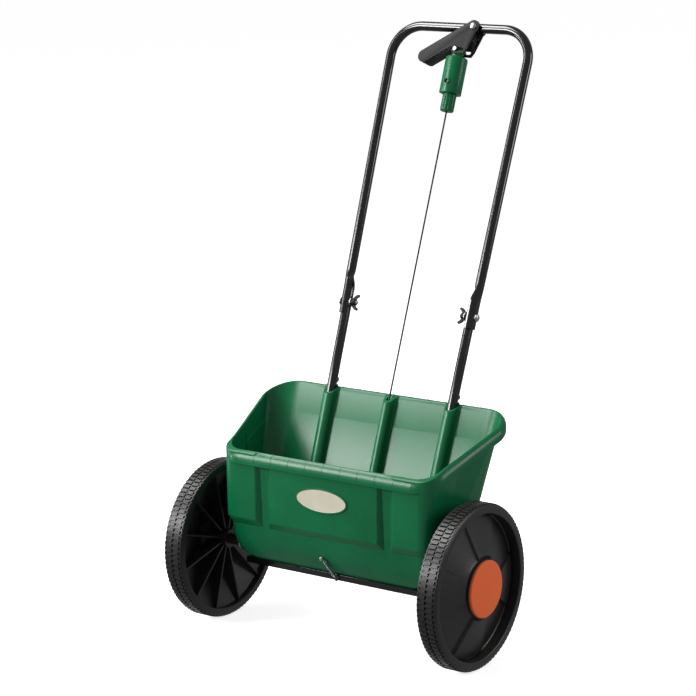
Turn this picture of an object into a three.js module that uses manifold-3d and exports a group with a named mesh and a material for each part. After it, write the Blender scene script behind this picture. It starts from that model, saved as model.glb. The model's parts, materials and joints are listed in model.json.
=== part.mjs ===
// Drop spreader for lawn seed and fertiliser: a hopper on two wheels, pushed by a folding tube handle.
// A lever on the handle pulls a rod, the rod turns a bell crank, and the crank slides a ported
// steel channel under the hopper floor. The right-hand wheel drives the axle and its agitators.
//
// Millimetres, +Z up, +X towards the driven wheel, -Y towards the front panel, +Y towards the handle.
// Everything is laid out from a point on the ground under the middle of the axle, and the finished
// group is then shifted so that its origin is the centre of its footprint.

import * as THREE from 'three';
import { mergeVertices } from 'three/addons/utils/BufferGeometryUtils.js';
import Module from 'manifold-3d';

const wasm = await Module();
wasm.setup();

// ---------------------------------------------------------------- driving dimensions

const GAP = 0.3;                       // air between pieces that touch or run on each other

// wheels: stations along the wheel axis are measured outwards from the middle of the tread
const wheelRadius = 137.5;
const wheelWidth = 36;
const wheelRimDepth = 15;              // radial thickness of the tread ring
const wheelWebThickness = 4;
const wheelWebInset = 20;              // the dished web lies this far behind the outer face at the tread
const wheelWebRise = 21.5;             // and comes this far back out to meet the collar
const hubFloorInset = 8;               // the floor inside the collar lies this far behind the outer face
const wheelRibCount = 12;
const wheelRibThickness = 3;
const wheelRibInset = 6;               // the ribs stop this far short of the inner face
const wheelClearance = 0.75;           // from the widest part of the hopper's wall to the wheels
const hubRadius = 16;
const hubProud = 1;                    // the hub stands this far out of the inner face
const hubOuterEnd = 2;                 // and this far out of the web, on the outside
const collarRadius = 48.5;
const collarWall = 4;
const collarProud = 6.5;               // the collar stands this far out of the outer face
const capThickness = 5;
const capLegRadius = 3;
const capLegCircle = 37;
const capLegReach = 6;                 // the cap's legs stick this far through the web

const axleRadius = 5;
const axleOverhang = 3.5;              // the axle reaches this far past each wheel's outer face
const crossPinRadius = 2;
const bushWall = 4;
const bushFlange = 4;                  // the flange stands this far out of the sleeve
const bushFlangeThickness = 2.5;
const bushLength = 16;
const spacerWall = 4;
const agitatorRadius = 11;
const agitatorGap = 12;                // from the middle of the axle to each agitator

// handle: `rise` is measured up along the lower tubes from the height of the axle,
// `drop` is measured down along the tubes from the middle of the cross bar
const handleTilt = THREE.MathUtils.degToRad(19.9);    // the tubes lean back from the vertical
const handleTaper = THREE.MathUtils.degToRad(0.88);   // each tube leans outwards, going up
const tubesBehindAxle = 49;            // tube axes behind the axle, at the height of the axle
const jointRise = 422;
const jointDrop = 495;
const jointOverlap = 24;               // the lower tube reaches this far above the joint bolt
const saddleReach = 20;                // the upper tube's saddle reaches this far below the bolt
const saddleThickness = 2.6;
const saddleOffset = 4.5;              // the upper tube's axis lies this far outside the lower's
const tubeRadius = 8.25;
const tubeWall = 1.25;
const cornerRadius = 55;
const lowerTubeHalfSpacing = 126;      // at the folding joint
const lowerTubeFootRise = 32;
const boltRadius = 3;
const boltHeadRadius = 7;
const boltHeadHeight = 4;
const screwRadius = 2.2;
const washerThickness = 1.5;

// hopper: heights are measured from the axle, half widths from the widest part of the wall
const hopperHalf = 236;
const hopperWall = 3;
const rimFrontRise = 176.5;
const rimBackRise = 256.5;
const rimFrontY = -52;
const rimFrontInset = 27;              // the hopper is this much narrower, each side, at the front
const rimOverhang = 9;
const rimSkirt = 19;
const rimRoundFront = 34;
const rimRoundBack = 46;
const floorDrop = 15.5;                // underside of the hopper floor below the axle
const floorInset = 68;
const floorFront = -25;
const floorBack = 30;
const backWallOffset = 5;              // outer face of the back wall behind the tube axes
const troughBackOffset = -8;           // the trough's back lies in front of the tube axes
const ledgeRise = 46.5;                // foot of the raised front panels
const ledgeHeight = 13;
const grooveFloorY = -48;              // outer face of the front wall between the panels
const panelProud = 9;
const grooveInner = 117.5;             // the two upright grooves between the panels
const grooveOuter = 129;
const channelWall = 3;
const channelClearance = 0.4;          // round the lower tubes

const portCount = 12;
const portLength = 8;
const portWidth = 14;
const slideThickness = 1.6;
const slideLip = 10;
const slideOverlap = 12;               // the channel is this much longer than the floor, each end
const slideFront = -28;
const slideBack = 32;
const slideScrewX = 140;
const slideScrewY = 16;

const crankRise = 30;                  // arm driven by the rod
const crankDrop = 45;                  // arm that moves the channel
const crankThickness = 3;
const crankPlane = 0.5;                // front face of the crank behind the tube axes
const crankFootDrop = 26.3;            // the crank's lower pin below the height of the axle
const crankArmRadius = 6;
const crankPinRadius = 2.5;
const rodPlane = -3;                   // the rod runs this far in front of the tube axes
const rodRadius = 1.5;
const rodChannelBore = 5;
const rodChannelRadius = 9.5;

const leverPivotX = 27;
const leverDroop = THREE.MathUtils.degToRad(32.3);
const leverLength = 116;
const leverHalfWidth = 11;
const leverSwing = THREE.MathUtils.degToRad(20);
const cheekThickness = 4;
const cheekClearance = 2.25;           // between each cheek and the cross bar
const yokePinDrop = 41;
const yokePinRadius = 2;
const yokeSlack = 0.9;
const lugHalfWidth = 8;
const housingRadius = 19.2;
const housingWall = 2.5;
const housingBelowPin = 13;
const housingLength = 64;
const knobRadius = 12;
const knobLength = 31;

// ---------------------------------------------------------------- values worked out from those

const axleHeight = wheelRadius;
const innerFace = hopperHalf + wheelClearance;
const outerFace = innerFace + wheelWidth;
const wheelMiddle = (innerFace + outerFace) / 2;
const cosTilt = Math.cos(handleTilt);
const sinTilt = Math.sin(handleTilt);
const tanTilt = Math.tan(handleTilt);
const handleLength = jointRise + jointDrop;
const barHeight = axleHeight + handleLength * cosTilt;
const barReach = tubesBehindAxle + handleLength * sinTilt;

// the lever lifts the yoke pin, the pin lifts the rod, and the rod turns the crank
const rodStroke = leverPivotX * Math.tan(leverSwing) - yokePinDrop * (1 / Math.cos(leverSwing) - 1);
const crankSwing = rodStroke / crankRise;
const slideStroke = crankDrop * crankSwing;

// The handle frame: x across, y back from the plane of the tube axes, z up along the tubes,
// with its origin in the middle of the cross bar.
const handleFrame = new THREE.Matrix4().makeRotationX(-handleTilt).setPosition(0, barReach, barHeight);

// A tube frame lies in the handle frame, at a joint bolt, with z along that side's lower tube.
function tubeFrame(side) {
  return new THREE.Matrix4().makeRotationY(side * handleTaper)
    .setPosition(side * lowerTubeHalfSpacing, 0, -jointDrop);
}

// y of a plane parallel to the tube axes, at a height above the axle, `offset` behind them
function slopeY(rise, offset) {
  return tubesBehindAxle + rise * tanTilt + offset / cosTilt;
}

const rimBackY = slopeY(rimBackRise, backWallOffset);
const rimSlope = (rimBackRise - rimFrontRise) / (rimBackY - rimFrontY);
// height above the axle at which a plane `offset` behind the tube axes meets the rim
function rimRiseAt(offset) {
  return (rimFrontRise + rimSlope * (slopeY(0, offset) - rimFrontY)) / (1 - rimSlope * tanTilt);
}

// ---------------------------------------------------------------- shape helpers

function solid(geometry) {
  const bare = geometry.clone();
  bare.deleteAttribute('normal');
  bare.deleteAttribute('uv');
  const merged = mergeVertices(bare, 1e-3);
  return new wasm.Manifold(new wasm.Mesh({
    numProp: 3,
    vertProperties: new Float32Array(merged.attributes.position.array),
    triVerts: new Uint32Array(merged.index.array),
  }));
}

function geometryOf(manifold) {
  const mesh = manifold.getMesh();
  const geometry = new THREE.BufferGeometry();
  geometry.setAttribute('position', new THREE.BufferAttribute(new Float32Array(mesh.vertProperties), 3));
  geometry.setIndex(new THREE.BufferAttribute(new Uint32Array(mesh.triVerts), 1));
  geometry.computeVertexNormals();
  return geometry;
}

const joined = (first, ...rest) => rest.reduce((whole, piece) => whole.add(piece), first);
const cut = (first, ...rest) => rest.reduce((whole, piece) => whole.subtract(piece), first);

function cylinderX(radius, from, to, y = 0, z = 0, sides = 18) {
  return new THREE.CylinderGeometry(radius, radius, to - from, sides)
    .rotateZ(Math.PI / 2).translate((from + to) / 2, y, z);
}

function cylinderY(radius, from, to, x = 0, z = 0, sides = 18) {
  return new THREE.CylinderGeometry(radius, radius, to - from, sides).translate(x, (from + to) / 2, z);
}

function cylinderZ(radius, from, to, x = 0, y = 0, sides = 18) {
  return new THREE.CylinderGeometry(radius, radius, to - from, sides)
    .rotateX(Math.PI / 2).translate(x, y, (from + to) / 2);
}

function block(x0, x1, y0, y1, z0, z1) {
  return new THREE.BoxGeometry(x1 - x0, y1 - y0, z1 - z0)
    .translate((x0 + x1) / 2, (y0 + y1) / 2, (z0 + z1) / 2);
}

// a flat plate drawn in x and z, from y = front to y = back
function plateXZ(shape, front, back) {
  return new THREE.ExtrudeGeometry(shape, { depth: back - front, bevelEnabled: false, curveSegments: 10 })
    .rotateX(Math.PI / 2).translate(0, back, 0);
}

// a turned piece: points are [radius, height], turned round Z
function turned(points, sides = 16) {
  return new THREE.LatheGeometry(points.map(([r, z]) => new THREE.Vector2(r, z)), sides).rotateX(Math.PI / 2);
}

const alongX = (geometry) => geometry.rotateY(Math.PI / 2);
const alongMinusX = (geometry) => geometry.rotateY(-Math.PI / 2);
const alongY = (geometry) => geometry.rotateX(-Math.PI / 2);
const alongMinusY = (geometry) => geometry.rotateX(Math.PI / 2);

// a closed skin over rings of points, each ring anticlockwise from above and the rings going up
function loft(rings) {
  const count = rings[0].length;
  const positions = rings.flat().flatMap((point) => [point.x, point.y, point.z]);
  const index = [];
  for (let level = 0; level + 1 < rings.length; level += 1) {
    for (let i = 0; i < count; i += 1) {
      const a = level * count + i;
      const b = level * count + (i + 1) % count;
      index.push(a, b, b + count, a, b + count, a + count);
    }
  }
  const top = (rings.length - 1) * count;
  for (let i = 1; i + 1 < count; i += 1) {
    index.push(0, i + 1, i);
    index.push(top, top + i, top + i + 1);
  }
  const geometry = new THREE.BufferGeometry();
  geometry.setAttribute('position', new THREE.Float32BufferAttribute(positions, 3));
  geometry.setIndex(index);
  return geometry;
}

// A level of the hopper: a four-sided outline with rounded corners, wider at the back, lying on a
// plane that may rise to the back. `grow` moves the outline outwards, `lift` moves it up.
function level(outline, grow = 0, lift = 0) {
  const { front, back, halfFront, halfBack, roundFront, roundBack, zFront, zBack } = outline;
  const slope = (zBack - zFront) / (back - front);
  const corners = [
    [halfFront, front, roundFront, -90, 1, 1],
    [halfBack, back, roundBack, 0, 1, -1],
    [-halfBack, back, roundBack, 90, -1, -1],
    [-halfFront, front, roundFront, 180, -1, 1],
  ];
  const steps = 4;
  return corners.flatMap(([x, y, round, start, inX, inY]) => {
    const radius = Math.max(round + grow, 1);
    const centreX = x - inX * round;
    const centreY = y + inY * round;
    return Array.from({ length: steps + 1 }, (_, i) => {
      const angle = THREE.MathUtils.degToRad(start + 90 * i / steps);
      const py = centreY + radius * Math.sin(angle);
      return new THREE.Vector3(centreX + radius * Math.cos(angle), py, zFront + slope * (py - front) + lift);
    });
  });
}

// a round bend from one point to another about the middle of its circle
class CircularBend extends THREE.Curve {
  constructor(middle, from, to) {
    super();
    this.middle = middle;
    this.from = from.clone().sub(middle);
    this.to = to.clone().sub(middle);
  }

  getPoint(t, target = new THREE.Vector3()) {
    const whole = this.from.angleTo(this.to);
    return target.copy(this.middle)
      .addScaledVector(this.from, Math.sin((1 - t) * whole) / Math.sin(whole))
      .addScaledVector(this.to, Math.sin(t * whole) / Math.sin(whole));
  }
}

// a path of straight lines with rounded corners
function roundedPath(points, radius) {
  const path = new THREE.CurvePath();
  let start = points[0];
  for (let i = 1; i + 1 < points.length; i += 1) {
    const corner = points[i];
    const toBefore = points[i - 1].clone().sub(corner).normalize();
    const toAfter = points[i + 1].clone().sub(corner).normalize();
    const half = toBefore.angleTo(toAfter) / 2;
    const enter = corner.clone().addScaledVector(toBefore, radius / Math.tan(half));
    const leave = corner.clone().addScaledVector(toAfter, radius / Math.tan(half));
    const inwards = toBefore.clone().add(toAfter).normalize();
    const middle = corner.clone().addScaledVector(inwards, radius / Math.sin(half));
    path.add(new THREE.LineCurve3(start, enter));
    path.add(new CircularBend(middle, enter, leave));
    start = leave;
  }
  path.add(new THREE.LineCurve3(start, points[points.length - 1]));
  return path;
}

function ringShape(outer, inner, sides) {
  const shape = new THREE.Shape();
  shape.absarc(0, 0, outer, 0, 2 * Math.PI);
  if (inner > 0) {
    const hole = new THREE.Path();
    hole.absarc(0, 0, inner, 0, 2 * Math.PI, true);
    shape.holes.push(hole);
  }
  return { shape, curveSegments: sides };
}

function tubeAlong(path, outer, inner, steps, sides = 6) {
  const { shape, curveSegments } = ringShape(outer, inner, sides);
  return new THREE.ExtrudeGeometry(shape, { steps, curveSegments, bevelEnabled: false, extrudePath: path });
}

function straightTube(outer, inner, from, to, sides = 9) {
  const { shape, curveSegments } = ringShape(outer, inner, sides);
  return new THREE.ExtrudeGeometry(shape, { depth: to - from, curveSegments, bevelEnabled: false })
    .translate(0, 0, from);
}

function hexagon(radius) {
  return new THREE.Shape(Array.from({ length: 6 }, (_, i) => {
    const angle = i * Math.PI / 3;
    return new THREE.Vector2(radius * Math.cos(angle), radius * Math.sin(angle));
  }));
}

// a hexagon nut round Z, from z = 0 up
function nut(radius, bore, height) {
  const shape = hexagon(radius);
  const hole = new THREE.Path();
  hole.absarc(0, 0, bore, 0, 2 * Math.PI, true);
  shape.holes.push(hole);
  return new THREE.ExtrudeGeometry(shape, { depth: height, curveSegments: 10, bevelEnabled: false });
}

// a screw round Z: the head sits on z = 0 and domes upwards, the shank points down
function screw(headRadius, headHeight, shankRadius, shankLength, sides = 14) {
  return turned([
    [0, -shankLength], [shankRadius, -shankLength], [shankRadius, 0], [headRadius, 0],
    [headRadius * 0.96, headHeight * 0.45], [headRadius * 0.6, headHeight * 0.9], [0, headHeight],
  ], sides);
}

function washer(outer, inner, height, sides = 16) {
  return turned([[inner, 0], [outer, 0], [outer, height], [inner, height], [inner, 0]], sides);
}

// ---------------------------------------------------------------- finishes

function finish(color, roughness, metalness = 0) {
  return new THREE.MeshStandardMaterial({ color, roughness, metalness });
}
const greenPlastic = finish(0x0d6b3c, 0.35);
const blackPlastic = finish(0x1c1c1e, 0.5);
const orangePlastic = finish(0xe85a2a, 0.45);
const blackPaint = finish(0x0c0c0d, 0.22, 0.3);
const zincSteel = finish(0xb9bcc0, 0.3, 0.9);
const darkSteel = finish(0x3a3c3f, 0.4, 0.8);
const naturalNylon = finish(0xd9d6c8, 0.5);
const paleLabel = finish(0xf1efe4, 0.5);

// ---------------------------------------------------------------- assembly

const spreader = new THREE.Group();
const handle = new THREE.Group();
handle.applyMatrix4(handleFrame);
spreader.add(handle);
const tubeSides = new Map([-1, 1].map((side) => {
  const group = new THREE.Group();
  group.applyMatrix4(tubeFrame(side));
  handle.add(group);
  return [side, group];
}));
const sideName = (side) => (side < 0 ? 'left' : 'right');

function add(parent, name, geometry, material) {
  const mesh = new THREE.Mesh(geometry, material);
  mesh.name = name;
  parent.add(mesh);
  return mesh;
}

// ---------------------------------------------------------------- hopper

// The wall's outer face at each level, from the floor up: heights above the axle, front and back.
const at = (front, zFront, back, zBack, inFront, inBack, roundFront, roundBack) => ({
  front, back, roundFront, roundBack,
  halfFront: hopperHalf - inFront,
  halfBack: hopperHalf - inBack,
  zFront: axleHeight + zFront,
  zBack: axleHeight + zBack,
});
const shoulderRise = ledgeRise - 3;
const backWallRise = shoulderRise + 15.5;
const wallLevels = [
  at(floorFront, -floorDrop, floorBack, -floorDrop, floorInset, floorInset, 12, 12),
  at(floorFront - 8, -7.5, slopeY(-7.5, troughBackOffset), -7.5, 50, 50, 16, 16),
  at(grooveFloorY + 7, 10.5, slopeY(10.5, troughBackOffset), 10.5, 36, 33, 20, 20),
  at(grooveFloorY + 2, 27.5, slopeY(27.5, troughBackOffset), 27.5, 32, 26, 22, 22),
  at(grooveFloorY, ledgeRise, slopeY(shoulderRise, troughBackOffset), shoulderRise, 30, 22, 24, 24),
  at(grooveFloorY - 0.7, ledgeRise + 14, slopeY(backWallRise, backWallOffset), backWallRise, 29, 19, 26, 32),
  at(rimFrontY, rimFrontRise, rimBackY, rimBackRise, rimFrontInset, 0, rimRoundFront, rimRoundBack),
];
const rimLevel = wallLevels[wallLevels.length - 1];
const ledgeLevel = wallLevels[4];

function wallLoft(grow, floorLift) {
  return solid(loft(wallLevels.map((wall, i) => level(wall, grow, i === 0 ? floorLift : 0))));
}

// everything above the plane of the rim
function aboveRim(lift = 0) {
  const reach = 1.5 * hopperHalf;
  return solid(block(-reach, reach, -reach, reach, 0, reach)
    .rotateX(Math.atan(rimSlope)).translate(0, rimFrontY, axleHeight + rimFrontRise + lift));
}

// half the width of the wall at a level, at some y
function halfAt(wall, y) {
  return wall.halfFront + (wall.halfBack - wall.halfFront) * (y - wall.front) / (wall.back - wall.front);
}

const panelFace = grooveFloorY - panelProud;

// the middle panel: a flat face with sloping sides and foot; `inset` gives its hollow behind
function middlePanel(inset) {
  const back = grooveFloorY + hopperWall - 1 + 2 * inset;
  const ring = (z, face, half) => [
    new THREE.Vector3(-grooveInner - (back - grooveFloorY) + inset, back, z),
    new THREE.Vector3(-half + inset, face + inset, z),
    new THREE.Vector3(half - inset, face + inset, z),
    new THREE.Vector3(grooveInner + (back - grooveFloorY) - inset, back, z),
  ];
  const foot = axleHeight + ledgeRise;
  return solid(loft([
    ring(foot + inset, grooveFloorY + 0.4, grooveInner - 0.4),
    ring(foot + ledgeHeight + inset, panelFace, grooveInner - panelProud),
    ring(foot + 1.2 * rimFrontRise, panelFace - 1, grooveInner - panelProud),
  ]));
}

// the two outer panels wrap round the front corners and fade out along the sides
function outerPanels(inset) {
  const back = 20;
  const ring = (front, rise, extra, wall) => ({
    front, back, roundFront: 24, roundBack: 2,
    halfFront: wall.halfFront + extra,
    halfBack: halfAt(wall, back) - 1,
    zFront: axleHeight + rise,
    zBack: axleHeight + rise + (wall === rimLevel ? rimSlope * (back - front) : 0),
  });
  const body = solid(loft([
    level(ring(grooveFloorY + 0.4, ledgeRise, -0.5, ledgeLevel), -inset, inset),
    level(ring(panelFace, ledgeRise + ledgeHeight, 2, wallLevels[5]), -inset, inset),
    level(ring(panelFace - 1, rimFrontRise - 2, 2, rimLevel), -inset),
  ]));
  const between = new THREE.Shape();
  const reach = panelProud + 6;
  between.moveTo(-(grooveOuter - reach + 1.4 * inset), grooveFloorY + reach);
  between.lineTo(-(grooveOuter + reach + 1.4 * inset), grooveFloorY - reach);
  between.lineTo(grooveOuter + reach + 1.4 * inset, grooveFloorY - reach);
  between.lineTo(grooveOuter - reach + 1.4 * inset, grooveFloorY + reach);
  between.closePath();
  return cut(body, solid(new THREE.ExtrudeGeometry(between, { depth: 3 * axleHeight, bevelEnabled: false })));
}

function rimFlange() {
  const skirt = (grow, drop) => level(rimLevel, grow, -drop);
  const outside = solid(loft([skirt(rimOverhang, rimSkirt), skirt(rimOverhang - 0.5, 0)]));
  const under = solid(loft([
    skirt(rimOverhang - hopperWall, rimSkirt + 1),
    skirt(rimOverhang - hopperWall - 0.5, hopperWall),
  ]));
  return cut(outside, under);
}

const inHandle = (geometry) => solid(geometry.applyMatrix4(handleFrame));
const inTube = (side, geometry) => solid(
  geometry.applyMatrix4(new THREE.Matrix4().multiplyMatrices(handleFrame, tubeFrame(side))));

const channelRadius = tubeRadius + channelClearance + channelWall;
const lowerTubeFoot = jointRise - lowerTubeFootRise;       // below the joint bolt
const channelTop = rimBackRise / cosTilt - jointRise + 40;  // past the rim, which cuts it off
const rodChannelFoot = -(handleLength - (shoulderRise + 4) / cosTilt);
// heights along the tube above the joint bolt, so both are negative
const tubeScrewRise = (rimRiseAt(tubeRadius + 5) + 9) / cosTilt - jointRise;
const tubeLockRise = -lowerTubeFoot + 14;

const bushRadius = axleRadius + 0.15 + bushWall;
const bushBossRadius = bushRadius + GAP + 4.5;
const bossInner = hopperHalf - 52;
const bossOuter = hopperHalf - 30;
const floorTop = axleHeight - floorDrop + hopperWall;
const portPitch = 2 * (hopperHalf - floorInset - 14) / (portCount - 1);
const portPlaces = Array.from({ length: portCount }, (_, i) => (i - (portCount - 1) / 2) * portPitch);
const slideScrews = [[-1, -1], [1, -1], [1, 1], [-1, 1]].map(([a, b]) => [a * slideScrewX, b * slideScrewY]);

// crank pivot and pins, in the handle frame; the crank swings evenly to both sides of square
const restAngle = crankSwing / 2;
const crankPivot = {
  x: -crankRise * Math.cos(restAngle),
  z: -(handleLength + crankFootDrop - crankDrop * Math.cos(restAngle)),
};
const crankEye = { x: 0, z: crankPivot.z - crankRise * Math.sin(restAngle) };
const crankFoot = {
  x: crankPivot.x - crankDrop * Math.sin(restAngle),
  z: crankPivot.z - crankDrop * Math.cos(restAngle),
};

const pegX = -9;
const pegRise = 12.5;
const pegWallY = grooveFloorY + 6.4;   // outer face of the wall at the height of the peg

// round the axle, between two distances out from the middle of the hopper
function sideCylinder(side, radius, from, to) {
  const [x0, x1] = side < 0 ? [-to, -from] : [from, to];
  return solid(cylinderX(radius, x0, x1, 0, axleHeight));
}

function makeHopper() {
  const outside = joined(wallLoft(0, 0), middlePanel(0), outerPanels(0), rimFlange());
  const inside = joined(
    wallLoft(-hopperWall, hopperWall),
    middlePanel(hopperWall).subtract(aboveRim(-rimSkirt)),
    outerPanels(hopperWall).subtract(aboveRim(-rimSkirt)),
  );
  const mouth = solid(loft([level(rimLevel, -hopperWall, -1), level(rimLevel, -hopperWall, 5)]));
  const bosses = [-1, 1].flatMap((side) => [
    inTube(side, cylinderZ(channelRadius, -lowerTubeFoot - 7, channelTop)),
    sideCylinder(side, bushBossRadius, bossInner, bossOuter),
  ]);
  bosses.push(inHandle(cylinderZ(rodChannelRadius, rodChannelFoot, -jointDrop, 0, rodPlane)));
  const crankSeat = [crankPivot.x, crankPivot.z];
  bosses.push(inHandle(cylinderY(crankArmRadius + 1, troughBackOffset - 2, crankPlane - GAP, ...crankSeat)));
  const shell = cut(joined(cut(outside, inside, mouth), ...bosses), aboveRim(0));
  const holes = [-1, 1].flatMap((side) => [
    inTube(side, cylinderZ(tubeRadius + channelClearance, -lowerTubeFoot - 20, channelTop + 1)),
    inTube(side, cylinderY(screwRadius + GAP, 0, 20, 0, tubeLockRise)),
    sideCylinder(side, bushRadius + GAP, 0, 2 * hopperHalf),
  ]);
  holes.push(inHandle(cylinderZ(rodChannelBore, rodChannelFoot - 9, -jointDrop + 1, 0, rodPlane)));
  holes.push(inHandle(cylinderY(screwRadius + GAP, troughBackOffset - 1.5, crankPlane + 1, ...crankSeat)));
  holes.push(solid(cylinderY(screwRadius + GAP, pegWallY - 5, pegWallY + 6, pegX, axleHeight + pegRise)));
  for (const x of portPlaces) {
    holes.push(solid(block(x - portLength / 2, x + portLength / 2, -portWidth / 2, portWidth / 2,
      floorTop - hopperWall - 1, floorTop + 1)));
  }
  for (const [x, y] of slideScrews) {
    holes.push(solid(cylinderZ(screwRadius + GAP, floorTop - hopperWall - 1, floorTop + 1, x, y, 12)));
  }
  return geometryOf(cut(shell, ...holes));
}
add(spreader, 'hopper', makeHopper(), greenPlastic);

// a plain oval label on the middle panel
const label = new THREE.Shape();
label.absellipse(0, 0, 52, 21, 0, 2 * Math.PI);
const labelMesh = add(spreader, 'front_label', plateXZ(label, -0.8, 0), paleLabel);
labelMesh.rotation.x = -Math.atan(1 / (1.2 * rimFrontRise - ledgeHeight));
labelMesh.position.set(-2, panelFace - 0.5 - GAP, axleHeight + (ledgeRise + rimFrontRise) / 2 + 3);

// ---------------------------------------------------------------- handle

const saddleInner = tubeRadius + GAP;
const saddleOuter = saddleInner + saddleThickness;

// the crescent that the flattened end of the upper tube makes round the lower tube
function saddle(side) {
  const spread = THREE.MathUtils.degToRad(100);
  const shape = new THREE.Shape();
  shape.absarc(0, 0, saddleOuter, -spread, spread);
  shape.absarc(0, 0, saddleInner, spread, -spread, true);
  shape.closePath();
  return inSide(side, new THREE.ExtrudeGeometry(shape, {
    depth: saddleReach + jointOverlap + 24, curveSegments: 6, bevelEnabled: false,
  }).translate(0, 0, -saddleReach).rotateZ(side < 0 ? Math.PI : 0));
}

function inSide(side, geometry) {
  return solid(geometry.applyMatrix4(tubeFrame(side)));
}

function makeUpperHandle() {
  const tubeEnd = jointOverlap + 8;
  const end = (side) => new THREE.Vector3(side * saddleOffset, 0, tubeEnd).applyMatrix4(tubeFrame(side));
  const cornerX = lowerTubeHalfSpacing + saddleOffset + jointDrop * Math.tan(handleTaper);
  const path = roundedPath([
    end(-1), new THREE.Vector3(-cornerX, 0, 0), new THREE.Vector3(cornerX, 0, 0), end(1),
  ], cornerRadius);
  const tube = solid(tubeAlong(path, tubeRadius, tubeRadius - tubeWall, 48));
  const boltHoles = [-1, 1].map((side) => inSide(side, cylinderX(boltRadius + GAP, -20, 20, 0, 0, 14)));
  const leverHole = solid(cylinderY(boltRadius + GAP, -20, 20, leverPivotX, 0, 14));
  return geometryOf(cut(joined(tube, saddle(-1), saddle(1)), ...boltHoles, leverHole));
}
add(handle, 'upper_handle', makeUpperHandle(), blackPaint);

function wingNut() {
  const wing = new THREE.Shape();
  wing.moveTo(3.6, 1);
  wing.lineTo(8, 2);
  wing.quadraticCurveTo(14, 6, 14, 12);
  wing.quadraticCurveTo(11, 14.5, 9.5, 12);
  wing.quadraticCurveTo(8, 8, 3.6, 7);
  wing.closePath();
  const wings = [0, Math.PI].map((turn) => solid(plateXZ(wing, -1.3, 1.3).rotateZ(turn)));
  const hub = solid(turned([[0, 0], [6.3, 0], [5.2, 7.5], [0, 7.5]], 18));
  return geometryOf(cut(joined(hub, ...wings), solid(cylinderZ(boltRadius + GAP, -1, 9, 0, 0, 14))));
}

for (const side of [-1, 1]) {
  const group = tubeSides.get(side);
  const outwards = side < 0 ? alongMinusX : alongX;
  const inwards = side < 0 ? alongX : alongMinusX;

  const lower = cut(
    solid(straightTube(tubeRadius, tubeRadius - tubeWall, -lowerTubeFoot, jointOverlap)),
    solid(cylinderX(boltRadius + GAP, -20, 20, 0, 0, 14)),
    solid(cylinderY(screwRadius + GAP, 3, 20, 0, tubeScrewRise, 12)),
    solid(cylinderY(screwRadius + GAP, 3, 20, 0, tubeLockRise, 12)),
  );
  add(group, `lower_tube_${sideName(side)}`, geometryOf(lower), blackPaint);

  const plugFit = tubeRadius - tubeWall - 0.4;
  add(group, `tube_plug_${sideName(side)}`, turned([
    [0, jointOverlap - 10], [plugFit, jointOverlap - 10], [plugFit, jointOverlap + GAP],
    [tubeRadius, jointOverlap + GAP], [tubeRadius, jointOverlap + 2], [tubeRadius - 2, jointOverlap + 3.2],
    [0, jointOverlap + 3.2],
  ]), blackPlastic);

  const boltSeat = side * (saddleOuter + GAP);
  const washerSeat = -side * (tubeRadius + GAP);
  const nutSeat = washerSeat - side * (washerThickness + GAP);
  const boltReach = saddleOuter + tubeRadius + washerThickness + 3 * GAP + 10;
  add(group, `joint_bolt_${sideName(side)}`,
    outwards(screw(boltHeadRadius, boltHeadHeight, boltRadius, boltReach)), zincSteel).position.x = boltSeat;
  add(group, `joint_washer_${sideName(side)}`,
    inwards(washer(8, boltRadius + GAP, washerThickness)), zincSteel).position.x = washerSeat;
  add(group, `wing_nut_${sideName(side)}`, inwards(wingNut()), blackPlastic).position.x = nutSeat;

  // the stop screw behind each tube rests above the rim, the lock screw holds the foot of the tube
  const stop = add(group, `tube_stop_screw_${sideName(side)}`, alongY(screw(6, 4.5, screwRadius, 7)), darkSteel);
  stop.position.set(0, tubeRadius + GAP, tubeScrewRise);
  const lock = add(group, `tube_lock_screw_${sideName(side)}`, alongY(screw(5, 3, screwRadius, 9)), zincSteel);
  lock.position.set(0, channelRadius + GAP, tubeLockRise);
}

// ---------------------------------------------------------------- lever, setting housing and rod

const cheekInner = tubeRadius + cheekClearance;
const cheekOuter = cheekInner + cheekThickness;

// u runs along the lever from its pivot, v across it, downwards
function leverPoint(u, v) {
  return new THREE.Vector2(
    leverPivotX - u * Math.cos(leverDroop) + v * Math.sin(leverDroop),
    -u * Math.sin(leverDroop) - v * Math.cos(leverDroop),
  );
}

function capsule(from, to, radius) {
  const angle = Math.atan2(to.y - from.y, to.x - from.x);
  const shape = new THREE.Shape();
  shape.absarc(from.x, from.y, radius, angle + Math.PI / 2, angle + 1.5 * Math.PI);
  shape.absarc(to.x, to.y, radius, angle - Math.PI / 2, angle + Math.PI / 2);
  shape.closePath();
  return shape;
}

function leverStrip(u0, u1, v0, v1) {
  const corners = [leverPoint(u0, v0), leverPoint(u0, v1), leverPoint(u1, v1), leverPoint(u1, v0)];
  return solid(plateXZ(new THREE.Shape(corners), -cheekInner, cheekInner));
}

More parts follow.
